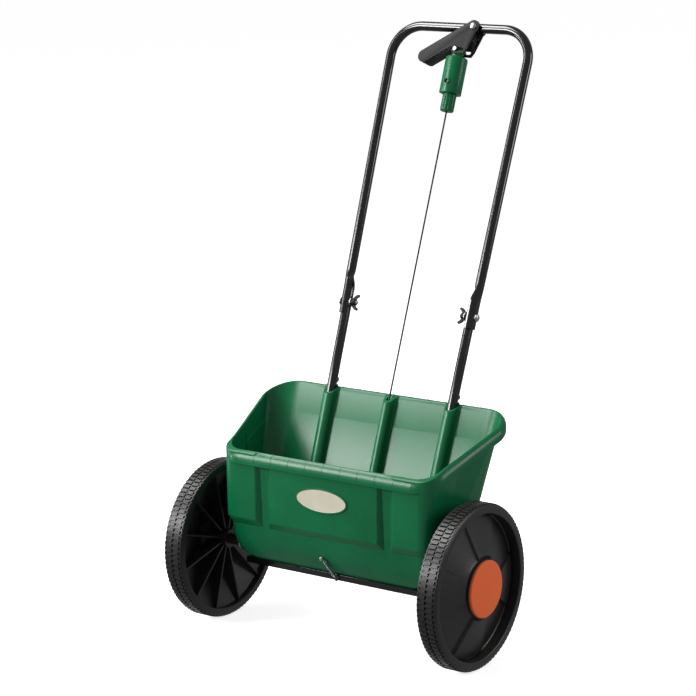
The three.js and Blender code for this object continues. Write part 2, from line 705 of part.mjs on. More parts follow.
function makeLever() {
  const tip = leverLength - leverHalfWidth;
  const outline = capsule(leverPoint(0, 0), leverPoint(tip, 0), leverHalfWidth);
  const blade = solid(plateXZ(outline, -cheekOuter, cheekOuter));
  const ear = new THREE.Shape([
    leverPoint(40, -2),
    new THREE.Vector2(-9.5, -yokePinDrop),
    new THREE.Vector2(-4.5, -yokePinDrop - 7.5),
    new THREE.Vector2(17, -yokePinDrop - 7.5),
    new THREE.Vector2(22, -yokePinDrop),
    leverPoint(-4, 8),
  ]);
  const ears = solid(plateXZ(ear, -cheekOuter, cheekOuter));
  // the yoke slot is as long as the pin's travel along the lever
  const slotTravel = (leverPivotX - yokePinDrop * Math.sin(leverSwing)) / Math.cos(leverSwing);
  const slot = capsule(
    new THREE.Vector2(-0.5, -yokePinDrop),
    new THREE.Vector2(leverPivotX - slotTravel + 0.5, -yokePinDrop),
    yokePinRadius + yokeSlack,
  );
  const floorFrom = 62;
  return geometryOf(cut(
    joined(blade, ears),
    leverStrip(-40, floorFrom, -40, 60),
    leverStrip(floorFrom - 1, leverLength - 3, -40, leverHalfWidth - 3),
    solid(cylinderY(boltRadius + GAP, -20, 20, leverPivotX, 0, 14)),
    solid(plateXZ(slot, -20, 20)),
  ));
}
add(handle, 'control_lever', makeLever(), blackPlastic);

const leverBolt = add(handle, 'lever_bolt',
  alongMinusY(screw(boltHeadRadius - 0.5, boltHeadHeight, boltRadius, 2 * cheekOuter + 6)), zincSteel);
leverBolt.position.set(leverPivotX, -cheekOuter - GAP, 0);
const leverNut = add(handle, 'lever_nut', alongY(nut(5.5, boltRadius + GAP, 4.5)), zincSteel);
leverNut.position.set(leverPivotX, cheekOuter + GAP, 0);
for (const [name, place, turn] of [['front', -1, alongMinusY], ['rear', 1, alongY]]) {
  const spacer = turn(washer(6.5, boltRadius + GAP, cheekClearance - 2 * GAP));
  add(handle, `lever_spacer_${name}`, spacer, blackPlastic)
    .position.set(leverPivotX, place * (tubeRadius + GAP), 0);
}

const housingTop = -(yokePinDrop + housingBelowPin);
const housingFoot = housingTop - housingLength;
const housingInner = housingRadius - housingWall;
const knobNeck = knobRadius - 1.8;
const windowDrop = 0.71 * housingLength;

function makeHousing() {
  const body = solid(turned([
    [0, housingTop - housingWall], [housingInner, housingTop - housingWall],
    [housingInner, housingFoot + housingWall], [knobNeck + GAP, housingFoot + housingWall],
    [knobNeck + GAP, housingFoot], [housingRadius, housingFoot],
    [housingRadius, housingTop - 2], [housingRadius - 2, housingTop], [0, housingTop],
  ], 28));
  const lugTop = -yokePinDrop;
  const lug = joined(
    solid(block(-lugHalfWidth, lugHalfWidth, -6, 6, housingTop - 1, lugTop)),
    solid(cylinderY(lugHalfWidth, -6, 6, 0, lugTop)),
  );
  const windowAt = [0, housingTop - windowDrop];
  const windowRing = solid(cylinderY(5.6, -housingRadius - 1.2, -housingInner - 0.5, ...windowAt));
  return geometryOf(cut(
    joined(body, lug, windowRing),
    solid(cylinderY(4, -housingRadius - 3, -housingInner + 2, ...windowAt)),
    solid(cylinderY(yokePinRadius + GAP, -20, 20, 0, lugTop, 14)),
  ));
}
add(handle, 'rate_housing', makeHousing(), greenPlastic).position.y = rodPlane;

const pinReach = cheekOuter + 1.2;
add(handle, 'housing_pin', alongY(turned([
  [0, -pinReach - 2], [3.6, -pinReach - 2], [3.6, -pinReach], [yokePinRadius, -pinReach],
  [yokePinRadius, pinReach], [3.6, pinReach], [3.6, pinReach + 2], [0, pinReach + 2],
], 14)), zincSteel).position.z = -yokePinDrop;

const dialTop = housingTop - housingWall - 4;
const dialFoot = housingFoot + housingWall + GAP;
add(handle, 'rate_dial', turned([
  [rodRadius + GAP, dialFoot], [housingInner - 1.2, dialFoot], [housingInner - 1.2, dialTop],
  [rodRadius + GAP, dialTop], [rodRadius + GAP, dialFoot],
], 28), naturalNylon).position.y = rodPlane;

function makeKnob() {
  const foot = housingFoot - knobLength;
  const body = solid(turned([
    [rodRadius + GAP, foot], [knobRadius - 1.5, foot], [knobRadius, foot + 1.5],
    [knobRadius, housingFoot - 0.6], [knobNeck, housingFoot - 0.6], [knobNeck, dialFoot - GAP],
    [rodRadius + GAP, dialFoot - GAP], [rodRadius + GAP, foot],
  ], 24));
  const flutes = Array.from({ length: 12 }, (_, i) => {
    const angle = i * Math.PI / 6;
    return solid(cylinderZ(1.5, foot - 1, housingFoot - 4,
      (knobRadius + 0.4) * Math.cos(angle), (knobRadius + 0.4) * Math.sin(angle), 8));
  });
  return geometryOf(cut(body, ...flutes));
}
add(handle, 'rate_knob', makeKnob(), greenPlastic).position.y = rodPlane;

function makeRod() {
  const top = dialTop - 3;
  const end = crankPlane + crankThickness + 3;
  return geometryOf(joined(
    solid(cylinderZ(rodRadius, crankEye.z, top, 0, rodPlane, 10)),
    solid(new THREE.SphereGeometry(rodRadius, 10, 8).translate(0, rodPlane, crankEye.z)),
    solid(cylinderY(rodRadius, rodPlane, end, 0, crankEye.z, 10)),
  ));
}
add(handle, 'control_rod', makeRod(), darkSteel);

const grommet = add(handle, 'rod_grommet', washer(rodChannelBore - GAP, rodRadius + 0.5, 8), blackPlastic);
grommet.position.set(0, rodPlane, -(handleLength - (rimRiseAt(rodPlane) - 16) / cosTilt));

// ---------------------------------------------------------------- bell crank

function makeCrank() {
  const back = crankPlane + crankThickness;
  const centre = new THREE.Vector2(crankPivot.x, crankPivot.z);
  const eye = new THREE.Vector2(crankEye.x, crankEye.z);
  const foot = new THREE.Vector2(crankFoot.x, crankFoot.z);
  const plate = joined(
    solid(plateXZ(capsule(centre, eye, crankArmRadius), crankPlane, back)),
    solid(plateXZ(capsule(centre, foot, crankArmRadius), crankPlane, back)),
    solid(cylinderY(crankPinRadius, -11.5, crankPlane + 1, foot.x, foot.y, 14)),
  );
  return geometryOf(cut(plate,
    solid(cylinderY(screwRadius + GAP, -20, 20, centre.x, centre.y, 14)),
    solid(cylinderY(rodRadius + 0.9, -20, 20, eye.x, eye.y, 14)),
  ));
}
add(handle, 'bell_crank', makeCrank(), darkSteel);
const crankScrew = add(handle, 'crank_screw', alongY(screw(5, 3.2, screwRadius, crankThickness + 8)), zincSteel);
crankScrew.position.set(crankPivot.x, crankPlane + crankThickness + GAP, crankPivot.z);

// ---------------------------------------------------------------- metering channel under the floor

const slideTop = axleHeight - floorDrop - GAP;
const slideUnder = slideTop - slideThickness;
const slideFoot = slideTop - slideLip;
const slideHalfLength = hopperHalf - floorInset + slideOverlap;
const backLipY = slideBack - slideThickness / 2;
// where the crank's lower pin passes through the back lip
const footBelowAxle = -crankFoot.z - handleLength;
const pinOffset = (backLipY - tubesBehindAxle + footBelowAxle * sinTilt) / cosTilt;
const pinHeight = axleHeight - footBelowAxle * cosTilt - pinOffset * sinTilt;
const slidePegHeight = slideFoot + 2.6;
const slidePegX = 12;

function makeSlide() {
  const x0 = -slideHalfLength;
  const x1 = slideHalfLength;
  const channel = joined(
    solid(block(x0, x1, slideFront, slideBack, slideUnder, slideTop)),
    solid(block(x0, x1, slideFront, slideFront + slideThickness, slideFoot, slideTop)),
    solid(block(x0, x1, slideBack - slideThickness, slideBack, slideFoot, slideTop)),
    solid(cylinderY(1.8, slideFront - 8, slideFront + 1, slidePegX, slidePegHeight, 12)),
  );
  const ports = portPlaces.map((x) => solid(block(
    x - slideStroke - portLength / 2, x - slideStroke + portLength / 2,
    -portWidth / 2, portWidth / 2, slideFoot - 1, slideTop + 1)));
  const slots = slideScrews.map(([x, y]) => solid(block(
    x - slideStroke - boltRadius - 0.5, x + boltRadius + 0.5,
    y - boltRadius - GAP, y + boltRadius + GAP, slideFoot - 1, slideTop + 1)));
  const notch = solid(block(crankFoot.x - crankPinRadius - 0.5, crankFoot.x + crankPinRadius + 0.5,
    slideBack - 3, slideBack + 3, slideFoot - 1, pinHeight + crankPinRadius + 0.9));
  return geometryOf(cut(channel, ...ports, ...slots, notch));
}
add(spreader, 'metering_slide', makeSlide(), blackPaint);

slideScrews.forEach(([x, y], i) => {
  const seat = slideUnder - GAP;
  const shoulderTop = slideTop + 0.1;
  const shankTop = floorTop + GAP + 3.5;
  add(spreader, `slide_screw_${i + 1}`, turned([
    [0, seat - 2.4], [4, seat - 2.2], [5.5, seat - 1.2], [5.5, seat], [boltRadius, seat],
    [boltRadius, shoulderTop], [screwRadius, shoulderTop], [screwRadius, shankTop], [0, shankTop],
  ], 16), zincSteel).position.set(x, y, 0);
  add(spreader, `slide_nut_${i + 1}`, nut(4, screwRadius + GAP, 3), zincSteel)
    .position.set(x, y, floorTop + GAP);
});

// ---------------------------------------------------------------- return spring and its peg

add(spreader, 'spring_peg', alongMinusY(screw(3.6, 2, screwRadius, 11)), zincSteel)
  .position.set(pegX, pegWallY - 7, axleHeight + pegRise);

class Spring extends THREE.Curve {
  constructor(top, foot, loopRadius, coilRadius, turns) {
    super();
    this.ends = [top, foot];
    this.axis = foot.clone().sub(top).normalize();
    this.loopRadius = loopRadius;
    this.coilRadius = coilRadius;
    this.turns = turns;
    this.side = new THREE.Vector3(0, 1, 0).cross(this.axis).normalize();
    this.other = this.axis.clone().cross(this.side);
  }

  // an eye round each end post, and the coil between them
  getPoint(t, target = new THREE.Vector3()) {
    const eye = 0.1;
    const [top, foot] = this.ends;
    if (t < eye || t > 1 - eye) {
      const atTop = t < eye;
      const turn = (atTop ? t : 1 - t) / eye;
      const angle = -1.1 * Math.PI + 1.6 * Math.PI * turn;
      const inwards = this.axis.clone().multiplyScalar(atTop ? 1 : -1);
      return target.copy(atTop ? top : foot)
        .addScaledVector(inwards, this.loopRadius * Math.sin(angle))
        .addScaledVector(this.side, this.loopRadius * Math.cos(angle));
    }
    const along = (t - eye) / (1 - 2 * eye);
    const start = top.clone().addScaledVector(this.axis, this.loopRadius);
    const finish = foot.clone().addScaledVector(this.axis, -this.loopRadius);
    const angle = 2 * Math.PI * this.turns * along;
    const radius = this.coilRadius * Math.min(1, 12 * along, 12 * (1 - along));
    return target.lerpVectors(start, finish, along)
      .addScaledVector(this.side, radius * Math.sin(angle))
      .addScaledVector(this.other, radius * Math.cos(angle));
  }
}
const springTop = new THREE.Vector3(pegX, pegWallY - 4.5, axleHeight + pegRise);
const springFoot = new THREE.Vector3(slidePegX, slideFront - 4.5, slidePegHeight);
const springPath = new Spring(springTop, springFoot, screwRadius + 1.3, 2.2, 7);
add(spreader, 'return_spring', tubeAlong(springPath, 0.6, 0, 84, 3), zincSteel);

// ---------------------------------------------------------------- axle and agitators

const axleEnd = outerFace + axleOverhang;
const boreRadius = axleRadius + GAP;
const hubInnerEnd = -(wheelWidth / 2 + hubProud);
const hubFace = wheelWidth / 2 - hubFloorInset + hubOuterEnd;
const capSeat = wheelWidth / 2 + collarProud + GAP;
const cotterStation = hubFace + GAP + washerThickness + GAP + 1.8;
const drivePinStation = hubInnerEnd + 1.5;
const agitatorEnd = hopperHalf - floorInset - 2;
const agitatorPinX = (agitatorGap + agitatorEnd) / 3;
const pinSpan = agitatorRadius - 2.5;

const crossPins = {
  agitator_pin_left: [-agitatorPinX, pinSpan, crossPinRadius],
  agitator_pin_right: [agitatorPinX, pinSpan, crossPinRadius],
  drive_pin: [wheelMiddle + drivePinStation, hubRadius - 2, crossPinRadius],
  cotter_pin_left: [-wheelMiddle - cotterStation, 9, 1.5],
  cotter_pin_right: [wheelMiddle + cotterStation, 9, 1.5],
};
const pinHoles = Object.values(crossPins).map(([x, span, radius]) => solid(
  cylinderY(radius + GAP, -span - 5, span + 5, x, 0, 12)));

const axle = new THREE.Group();
axle.position.z = axleHeight;
spreader.add(axle);
add(axle, 'axle', geometryOf(cut(solid(cylinderX(axleRadius, -axleEnd, axleEnd)), ...pinHoles)), zincSteel);
for (const [name, [x, span, radius]] of Object.entries(crossPins)) {
  add(axle, name, cylinderY(radius, -span, span, x, 0, 12), zincSteel);
}

for (const side of [-1, 1]) {
  const outwards = side < 0 ? alongMinusX : alongX;
  const name = sideName(side);

  const length = agitatorEnd - agitatorGap;
  const fins = [0, 1, 2, 3].map((i) => solid(
    block(-1.3, 1.3, axleRadius + 1, agitatorRadius, 0, length).rotateZ(Math.PI / 4 + i * Math.PI / 2)));
  const rotor = cut(
    joined(solid(cylinderZ(axleRadius + 2.2, 0, length)), ...fins),
    solid(cylinderZ(boreRadius, -1, length + 1)),
  );
  const placed = solid(outwards(geometryOf(rotor)).translate(side * agitatorGap, 0, 0));
  add(axle, `agitator_${name}`, geometryOf(cut(placed, ...pinHoles)), naturalNylon);

  // a flanged bush in the hopper's side, then a spacer sleeve out to the wheel
  const bushInner = axleRadius + 0.15;
  add(axle, `axle_bush_${name}`, outwards(turned([
    [bushInner, -bushLength], [bushRadius, -bushLength], [bushRadius, 0], [bushRadius + bushFlange, 0],
    [bushRadius + bushFlange, bushFlangeThickness], [bushInner, bushFlangeThickness], [bushInner, -bushLength],
  ])), naturalNylon).position.x = side * (bossOuter + GAP);
  const spacerFrom = bossOuter + GAP + bushFlangeThickness + GAP;
  const spacerTo = wheelMiddle + drivePinStation - crossPinRadius - GAP;
  add(axle, `wheel_spacer_${name}`,
    outwards(washer(axleRadius + spacerWall, boreRadius, spacerTo - spacerFrom)), blackPlastic)
    .position.x = side * spacerFrom;
}

// ---------------------------------------------------------------- wheels

function makeWheel(driven) {
  const half = wheelWidth / 2;
  const webOuter = half - wheelWebInset;
  const webInner = webOuter - wheelWebThickness;
  const floorOuter = half - hubFloorInset;
  const floorInner = floorOuter - wheelWebThickness;
  const rimInner = wheelRadius - wheelRimDepth;
  const body = solid(turned([
    [boreRadius, hubInnerEnd], [hubRadius, hubInnerEnd], [hubRadius, floorInner],
    [collarRadius, floorInner], [collarRadius, webInner + wheelWebRise], [rimInner, webInner],
    [rimInner, -half], [wheelRadius - 3, -half], [wheelRadius, 3 - half], [wheelRadius, half - 3],
    [wheelRadius - 3, half], [rimInner, half], [rimInner - 2, webOuter],
    [collarRadius, webOuter + wheelWebRise], [collarRadius, half + collarProud],
    [collarRadius - collarWall, half + collarProud], [collarRadius - collarWall, floorOuter],
    [hubRadius, floorOuter], [hubRadius, hubFace], [boreRadius, hubFace], [boreRadius, hubInnerEnd],
  ], 36));
  const ribFoot = wheelRibInset - half;
  const rib = new THREE.Shape([
    new THREE.Vector2(hubRadius - 1, ribFoot),
    new THREE.Vector2(rimInner + 1, ribFoot),
    new THREE.Vector2(rimInner + 1, webInner),
    new THREE.Vector2(collarRadius + 1, webInner + wheelWebRise),
    new THREE.Vector2(collarRadius - 1, floorInner + 1),
    new THREE.Vector2(hubRadius - 1, floorInner + 1),
  ]);
  const ribs = Array.from({ length: wheelRibCount }, (_, i) => solid(
    plateXZ(rib, -wheelRibThickness / 2, wheelRibThickness / 2)
      .rotateZ((i + 0.5) * 2 * Math.PI / wheelRibCount)));
  const legHoles = [-1, 1].map((up) => solid(
    cylinderZ(capLegRadius + 0.4, floorInner - 1, floorOuter + 1, up * capLegCircle, 0, 14)));
  const wheel = cut(joined(body, ...ribs), ...legHoles);
  if (!driven) return geometryOf(wheel);
  const pinSlot = solid(block(-crossPinRadius - GAP, crossPinRadius + GAP, -hubRadius - 1, hubRadius + 1,
    hubInnerEnd - 1, drivePinStation + crossPinRadius + GAP));
  return geometryOf(cut(wheel, pinSlot));
}

function makeCap() {
  const legEnd = wheelWidth / 2 - hubFloorInset - wheelWebThickness - capLegReach;
  const capRadius = collarRadius - 1.2;
  const disc = solid(turned([
    [0, capSeat], [capRadius, capSeat], [capRadius, capSeat + 2.5], [capRadius - 2, capSeat + 3.8],
    [capRadius * 0.5, capSeat + capThickness - 0.4], [0, capSeat + capThickness],
  ], 40));
  const legs = [-1, 1].map((up) => solid(
    cylinderZ(capLegRadius, legEnd, capSeat + 1, up * capLegCircle, 0, 14)));
  return geometryOf(joined(disc, ...legs));
}

for (const side of [-1, 1]) {
  const outwards = side < 0 ? alongMinusX : alongX;
  const name = sideName(side);
  const wheel = new THREE.Group();
  wheel.position.set(side * wheelMiddle, 0, axleHeight);
  spreader.add(wheel);
  add(wheel, `wheel_${name}`, outwards(makeWheel(side > 0)), blackPlastic);
  add(wheel, `hub_cap_${name}`, outwards(makeCap()), orangePlastic);
  add(wheel, `wheel_washer_${name}`, outwards(washer(11, boreRadius, washerThickness)), zincSteel)
    .position.x = side * (hubFace + GAP);
}

// ---------------------------------------------------------------- origin at the centre of the footprint

spreader.updateMatrixWorld(true);
const bounds = new THREE.Box3().setFromObject(spreader, true);
const middle = bounds.getCenter(new THREE.Vector3());
spreader.position.set(-middle.x, -middle.y, -bounds.min.z);
spreader.updateMatrixWorld(true);

export default spreader;
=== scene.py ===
# %% [markdown]
# # A garden spreader
# The spreader is a green moulded hopper on two ribbed wheels. A bent steel tube pushes it, and a lever
# under the push bar pulls a rod that opens the ports in the hopper's floor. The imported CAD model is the
# fixed frame: it gives every place and size, and it says which pieces move together. The pieces made
# here stand in for the CAD nodes with rounder edges, finer curves and real finishes.

# %% Load the frame
import json
import math

import bmesh
import bpy
from mathutils import Matrix, Vector

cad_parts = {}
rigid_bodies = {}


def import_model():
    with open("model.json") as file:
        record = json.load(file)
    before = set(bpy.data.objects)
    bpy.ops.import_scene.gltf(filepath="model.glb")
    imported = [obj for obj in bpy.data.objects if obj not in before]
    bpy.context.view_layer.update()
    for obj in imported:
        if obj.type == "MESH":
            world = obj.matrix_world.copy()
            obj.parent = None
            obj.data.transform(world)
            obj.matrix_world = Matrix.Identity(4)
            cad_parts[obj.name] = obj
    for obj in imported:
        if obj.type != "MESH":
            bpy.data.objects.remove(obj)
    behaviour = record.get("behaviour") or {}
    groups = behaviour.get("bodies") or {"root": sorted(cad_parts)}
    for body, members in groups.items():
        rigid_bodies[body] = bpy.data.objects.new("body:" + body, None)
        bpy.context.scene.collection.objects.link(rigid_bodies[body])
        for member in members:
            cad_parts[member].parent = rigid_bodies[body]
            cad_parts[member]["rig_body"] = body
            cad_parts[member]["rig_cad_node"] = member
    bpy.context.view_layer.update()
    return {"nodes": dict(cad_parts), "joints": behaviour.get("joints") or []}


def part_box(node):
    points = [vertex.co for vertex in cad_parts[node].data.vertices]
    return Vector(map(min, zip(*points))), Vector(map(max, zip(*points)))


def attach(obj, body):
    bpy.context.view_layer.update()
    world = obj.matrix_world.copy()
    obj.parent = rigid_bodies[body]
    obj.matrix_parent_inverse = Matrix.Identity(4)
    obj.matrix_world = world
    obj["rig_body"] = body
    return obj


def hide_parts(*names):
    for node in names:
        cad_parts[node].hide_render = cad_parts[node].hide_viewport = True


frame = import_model()
joints = {joint["name"]: joint for joint in frame["joints"]}

# %% [markdown]
# ## The camera
# A long lens from four metres away keeps the upright lines nearly parallel, as a catalogue picture
# does. The camera looks down a little, so that it sees into the hopper.

# %% Camera
MM = 0.001
hub = Vector(joints["drive_spin"]["pos_m"])
AXLE = Vector((0, hub.y, hub.z))
camera_turn = math.radians(35.24)
camera_rise = math.radians(11.33)
camera_distance = 3.9856
camera_aim = Vector((0.0112, AXLE.y, 0.5001))
camera_away = Vector((
    math.sin(camera_turn) * math.cos(camera_rise),
    -math.cos(camera_turn) * math.cos(camera_rise),
    math.sin(camera_rise),
))
bpy.ops.object.camera_add(location=camera_aim + camera_distance * camera_away)
camera = bpy.context.object
camera.rotation_euler = camera_away.to_track_quat("Z", "Y").to_euler()
camera.data.lens = 126.1
camera.data.clip_end = 50
bpy.context.scene.camera = camera
bpy.context.scene.view_settings.view_transform = "Standard"
print("camera at", [round(value, 3) for value in camera.location])

# %% [markdown]
# ## Helpers for modelling
# Operators act on whatever is selected, so each step starts with nothing selected. Then faces or edges
# are picked by where they are, which keeps the picking right when a size changes.


# %% Selecting and finishing
def deselect():
    if bpy.context.object and bpy.context.object.mode != "OBJECT":
        bpy.ops.object.mode_set(mode="OBJECT")
    bpy.ops.object.select_all(action="DESELECT")


def activate(piece):
    deselect()
    piece.select_set(True)
    bpy.context.view_layer.objects.active = piece


def pick(kind, wanted):
    """In edit mode, select the vertices, edges or faces that `wanted` says yes to."""
    bpy.ops.mesh.select_mode(type=kind)
    bpy.ops.mesh.select_all(action="DESELECT")
    mesh = bmesh.from_edit_mesh(bpy.context.object.data)
    items = {"VERT": mesh.verts, "EDGE": mesh.edges, "FACE": mesh.faces}[kind]
    for item in items:
        if wanted(item):
            item.select_set(True)
    mesh.select_flush_mode()
    bmesh.update_edit_mesh(bpy.context.object.data)


def modify(piece, kind, **settings):
    """Add a modifier with these settings and apply it."""
    activate(piece)
    modifier = piece.modifiers.new(kind.title(), kind)
    for name, value in settings.items():
        setattr(modifier, name, value)
    bpy.ops.object.modifier_apply(modifier=modifier.name)


def tidy_mesh(piece, merge=0.00001):
    """Merge doubled points and turn all faces outwards."""
    activate(piece)
    bpy.ops.object.mode_set(mode="EDIT")
    bpy.ops.mesh.select_all(action="SELECT")
    bpy.ops.mesh.remove_doubles(threshold=merge)
    bpy.ops.mesh.normals_make_consistent(inside=False)
    bpy.ops.object.mode_set(mode="OBJECT")


def soften(piece, width, segments=2, angle=35):
    """Round the sharp edges: a moulded or machined edge always catches some light."""
    modify(piece, "BEVEL", width=width * MM, segments=segments, limit_method="ANGLE",
           angle_limit=math.radians(angle), use_clamp_overlap=True, harden_normals=False)


def smooth(piece, angle=35):
    activate(piece)
    bpy.ops.object.shade_smooth_by_angle(angle=math.radians(angle))


def settle(piece, matrix):
    """Put the piece's place into its mesh, so that the object itself stays at the origin."""
    activate(piece)
    bpy.ops.object.transform_apply(location=True, rotation=True, scale=True)
    piece.data.transform(matrix)
    piece.data.update()
    return piece


def unite(whole, others, operation="UNION"):
    """Join or cut with closed pieces, which are then gone. This solver keeps closed meshes closed."""
    for other in others:
        modify(whole, "BOOLEAN", operation=operation, object=other, solver="MANIFOLD")
        bpy.data.objects.remove(other)
    return whole


# %% [markdown]
# ## Three ways to make a shape
# Most of the spreader's pieces come from three moves. Turning spins an outline about an axis, as a
# lathe does. Growing a skin extrudes one ring of points after another, and each new ring takes the
# outline of the piece at that station. Refining rounds the edges of a copy of a plain CAD piece.


# %% Turn an outline
def turn(name, outline, steps=48):
    """Spin an outline of (radius, height) in millimetres round Z."""
    deselect()
    bpy.ops.mesh.primitive_plane_add(size=MM, location=(0, 0, 0))
    piece = bpy.context.object
    piece.name = name
    bpy.ops.object.mode_set(mode="EDIT")
    pick("VERT", lambda vert: vert.index > 0)
    bpy.ops.mesh.delete(type="VERT")
    bpy.ops.mesh.select_all(action="SELECT")
    mesh = bmesh.from_edit_mesh(piece.data)
    mesh.verts.ensure_lookup_table()
    mesh.verts[0].co = Vector((outline[0][0] * MM, 0, outline[0][1] * MM))
    bmesh.update_edit_mesh(piece.data)
    for (r0, z0), (r1, z1) in zip(outline, outline[1:]):
        step = ((r1 - r0) * MM, 0, (z1 - z0) * MM)
        bpy.ops.mesh.extrude_region_move(TRANSFORM_OT_translate={"value": step})
    bpy.ops.mesh.select_all(action="SELECT")
    bpy.ops.mesh.spin(steps=steps, angle=2 * math.pi, center=(0, 0, 0), axis=(0, 0, 1))
    bpy.ops.object.mode_set(mode="OBJECT")
    tidy_mesh(piece)
    return piece


# %% Grow a skin ring by ring
def grow_skin(name, rings):
    """Extrude a disc through rings of points. Every ring has the same number of points, in order."""
    deselect()
    bpy.ops.mesh.primitive_circle_add(vertices=len(rings[0]), radius=1, fill_type="NGON")
    piece = bpy.context.object
    piece.name = name
    bpy.ops.object.mode_set(mode="EDIT")
    bpy.ops.mesh.select_mode(type="VERT")
    mesh = bmesh.from_edit_mesh(piece.data)
    mesh.verts.ensure_lookup_table()
    places = {}
    for place, vert in enumerate(list(mesh.faces)[0].verts):
        places[vert.index] = place
        vert.co = rings[0][place]
    for ring in rings[1:]:
        bpy.ops.mesh.select_mode(type="FACE")
        bpy.ops.mesh.extrude_region_move(TRANSFORM_OT_translate={"value": (0, 0, 0)})
        mesh = bmesh.from_edit_mesh(piece.data)
        mesh.verts.index_update()
        new_places = {}
        for vert in mesh.verts:
            if vert.select:
                before = [edge.other_vert(vert) for edge in vert.link_edges]
                place = next(places[old.index] for old in before if not old.select)
                new_places[vert.index] = place
                vert.co = ring[place]
        places = new_places
    bmesh.update_edit_mesh(piece.data)
    bpy.ops.mesh.select_all(action="SELECT")
    bpy.ops.mesh.normals_make_consistent(inside=False)
    bpy.ops.object.mode_set(mode="OBJECT")
    return piece


# %% Refine a plain CAD piece
def refine(node, width=0.4, segments=2, angle=35):
    """A copy of the CAD node with merged points, flat faces made whole and its edges rounded."""
    deselect()
    source = frame["nodes"][node]
    piece = source.copy()
    piece.data = source.data.copy()
    piece.name = node + "_fine"
    piece.parent = None
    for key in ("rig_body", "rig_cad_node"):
        if key in piece:
            del piece[key]
    bpy.context.scene.collection.objects.link(piece)
    activate(piece)
    bpy.ops.object.mode_set(mode="EDIT")
    bpy.ops.mesh.select_all(action="SELECT")
    bpy.ops.mesh.remove_doubles(threshold=0.00002)
    bpy.ops.mesh.dissolve_limited(angle_limit=math.radians(1))
    bpy.ops.object.mode_set(mode="OBJECT")
    if width:
        soften(piece, width, segments, angle)
    smooth(piece, angle)
    return piece


# %% [markdown]
# ## Finishes
# Four effects are shared by the finishes, so each is a node group with its own inputs: the fine
# texture of a mould, cloudy unevenness, thin scuffs, and dust that settles on faces that look up.
# Each group puts out a plain number, and the shader stays in the material.


# %% A node group with named sockets
def new_group(name, numbers, output):
    group = bpy.data.node_groups.new(name, "ShaderNodeTree")
    for label, value in numbers.items():
        socket = group.interface.new_socket(label, in_out="INPUT", socket_type="NodeSocketFloat")
        socket.default_value = value
    group.interface.new_socket(output, in_out="OUTPUT", socket_type="NodeSocketFloat")
    return group, group.nodes.new("NodeGroupInput"), group.nodes.new("NodeGroupOutput")


def object_place(tree, stretch=(1, 1, 1)):
    place = tree.nodes.new("ShaderNodeTexCoord")
    mapping = tree.nodes.new("ShaderNodeMapping")
    mapping.inputs["Scale"].default_value = stretch
    tree.links.new(place.outputs["Object"], mapping.inputs["Vector"])
    return mapping.outputs["Vector"]


def sums(tree, operation, first, second, third=None):
    node = tree.nodes.new("ShaderNodeMath")
    node.operation = operation
    for socket, value in zip(node.inputs, (first, second, third)):
        if value is None:
            continue
        if isinstance(value, (int, float)):
            socket.default_value = value
        else:
            tree.links.new(value, socket)
    return node.outputs[0]


def spread(tree, value, low, high):
    node = tree.nodes.new("ShaderNodeMapRange")
    node.inputs["From Min"].default_value = low
    node.inputs["From Max"].default_value = high
    tree.links.new(value, node.inputs["Value"])
    return node.outputs["Result"]


def noise(tree, scale, vector, detail=3, roughness=0.5):
    node = tree.nodes.new("ShaderNodeTexNoise")
    node.inputs["Detail"].default_value = detail
    node.inputs["Roughness"].default_value = roughness
    if isinstance(scale, (int, float)):
        node.inputs["Scale"].default_value = scale
    else:
        tree.links.new(scale, node.inputs["Scale"])
    tree.links.new(vector, node.inputs["Vector"])
    return node.outputs["Fac"]


# %% Mould grain: shallow pits a fraction of a millimetre across
grain_group, given, result = new_group("mould grain", {"Scale": 1500, "Ripple": 0.4}, "Height")
where = object_place(grain_group)
pits = grain_group.nodes.new("ShaderNodeTexVoronoi")
grain_group.links.new(given.outputs["Scale"], pits.inputs["Scale"])
grain_group.links.new(where, pits.inputs["Vector"])
ripple = sums(grain_group, "MULTIPLY", noise(grain_group, 22, where, 2), given.outputs["Ripple"])
grain_group.links.new(sums(grain_group, "ADD", pits.outputs["Distance"], ripple), result.inputs[0])

# %% Cloudy unevenness, from pigment and handling
cloud_group, given, result = new_group("clouds", {"Scale": 9}, "Mask")
where = object_place(cloud_group)
large = noise(cloud_group, given.outputs["Scale"], where, 4, 0.6)
fine = noise(cloud_group, 260, where, 3, 0.6)
both = sums(cloud_group, "MULTIPLY_ADD", fine, 0.25, sums(cloud_group, "MULTIPLY", large, 0.75))
cloud_group.links.new(spread(cloud_group, both, 0.3, 0.7), result.inputs[0])

# %% Scuffs: a few thin lines where things have rubbed past
scuff_group, given, result = new_group("scuffs", {"Amount": 0.5}, "Mask")
streaks = noise(scuff_group, 60, object_place(scuff_group, (1.0, 1.4, 14)), 2)
patches = noise(scuff_group, 12, object_place(scuff_group), 2)
thin = spread(scuff_group, streaks, 0.66, 0.72)
seldom = spread(scuff_group, patches, 0.52, 0.7)
worn = sums(scuff_group, "MULTIPLY", thin, seldom)
scuff_group.links.new(sums(scuff_group, "MULTIPLY", worn, given.outputs["Amount"]), result.inputs[0])

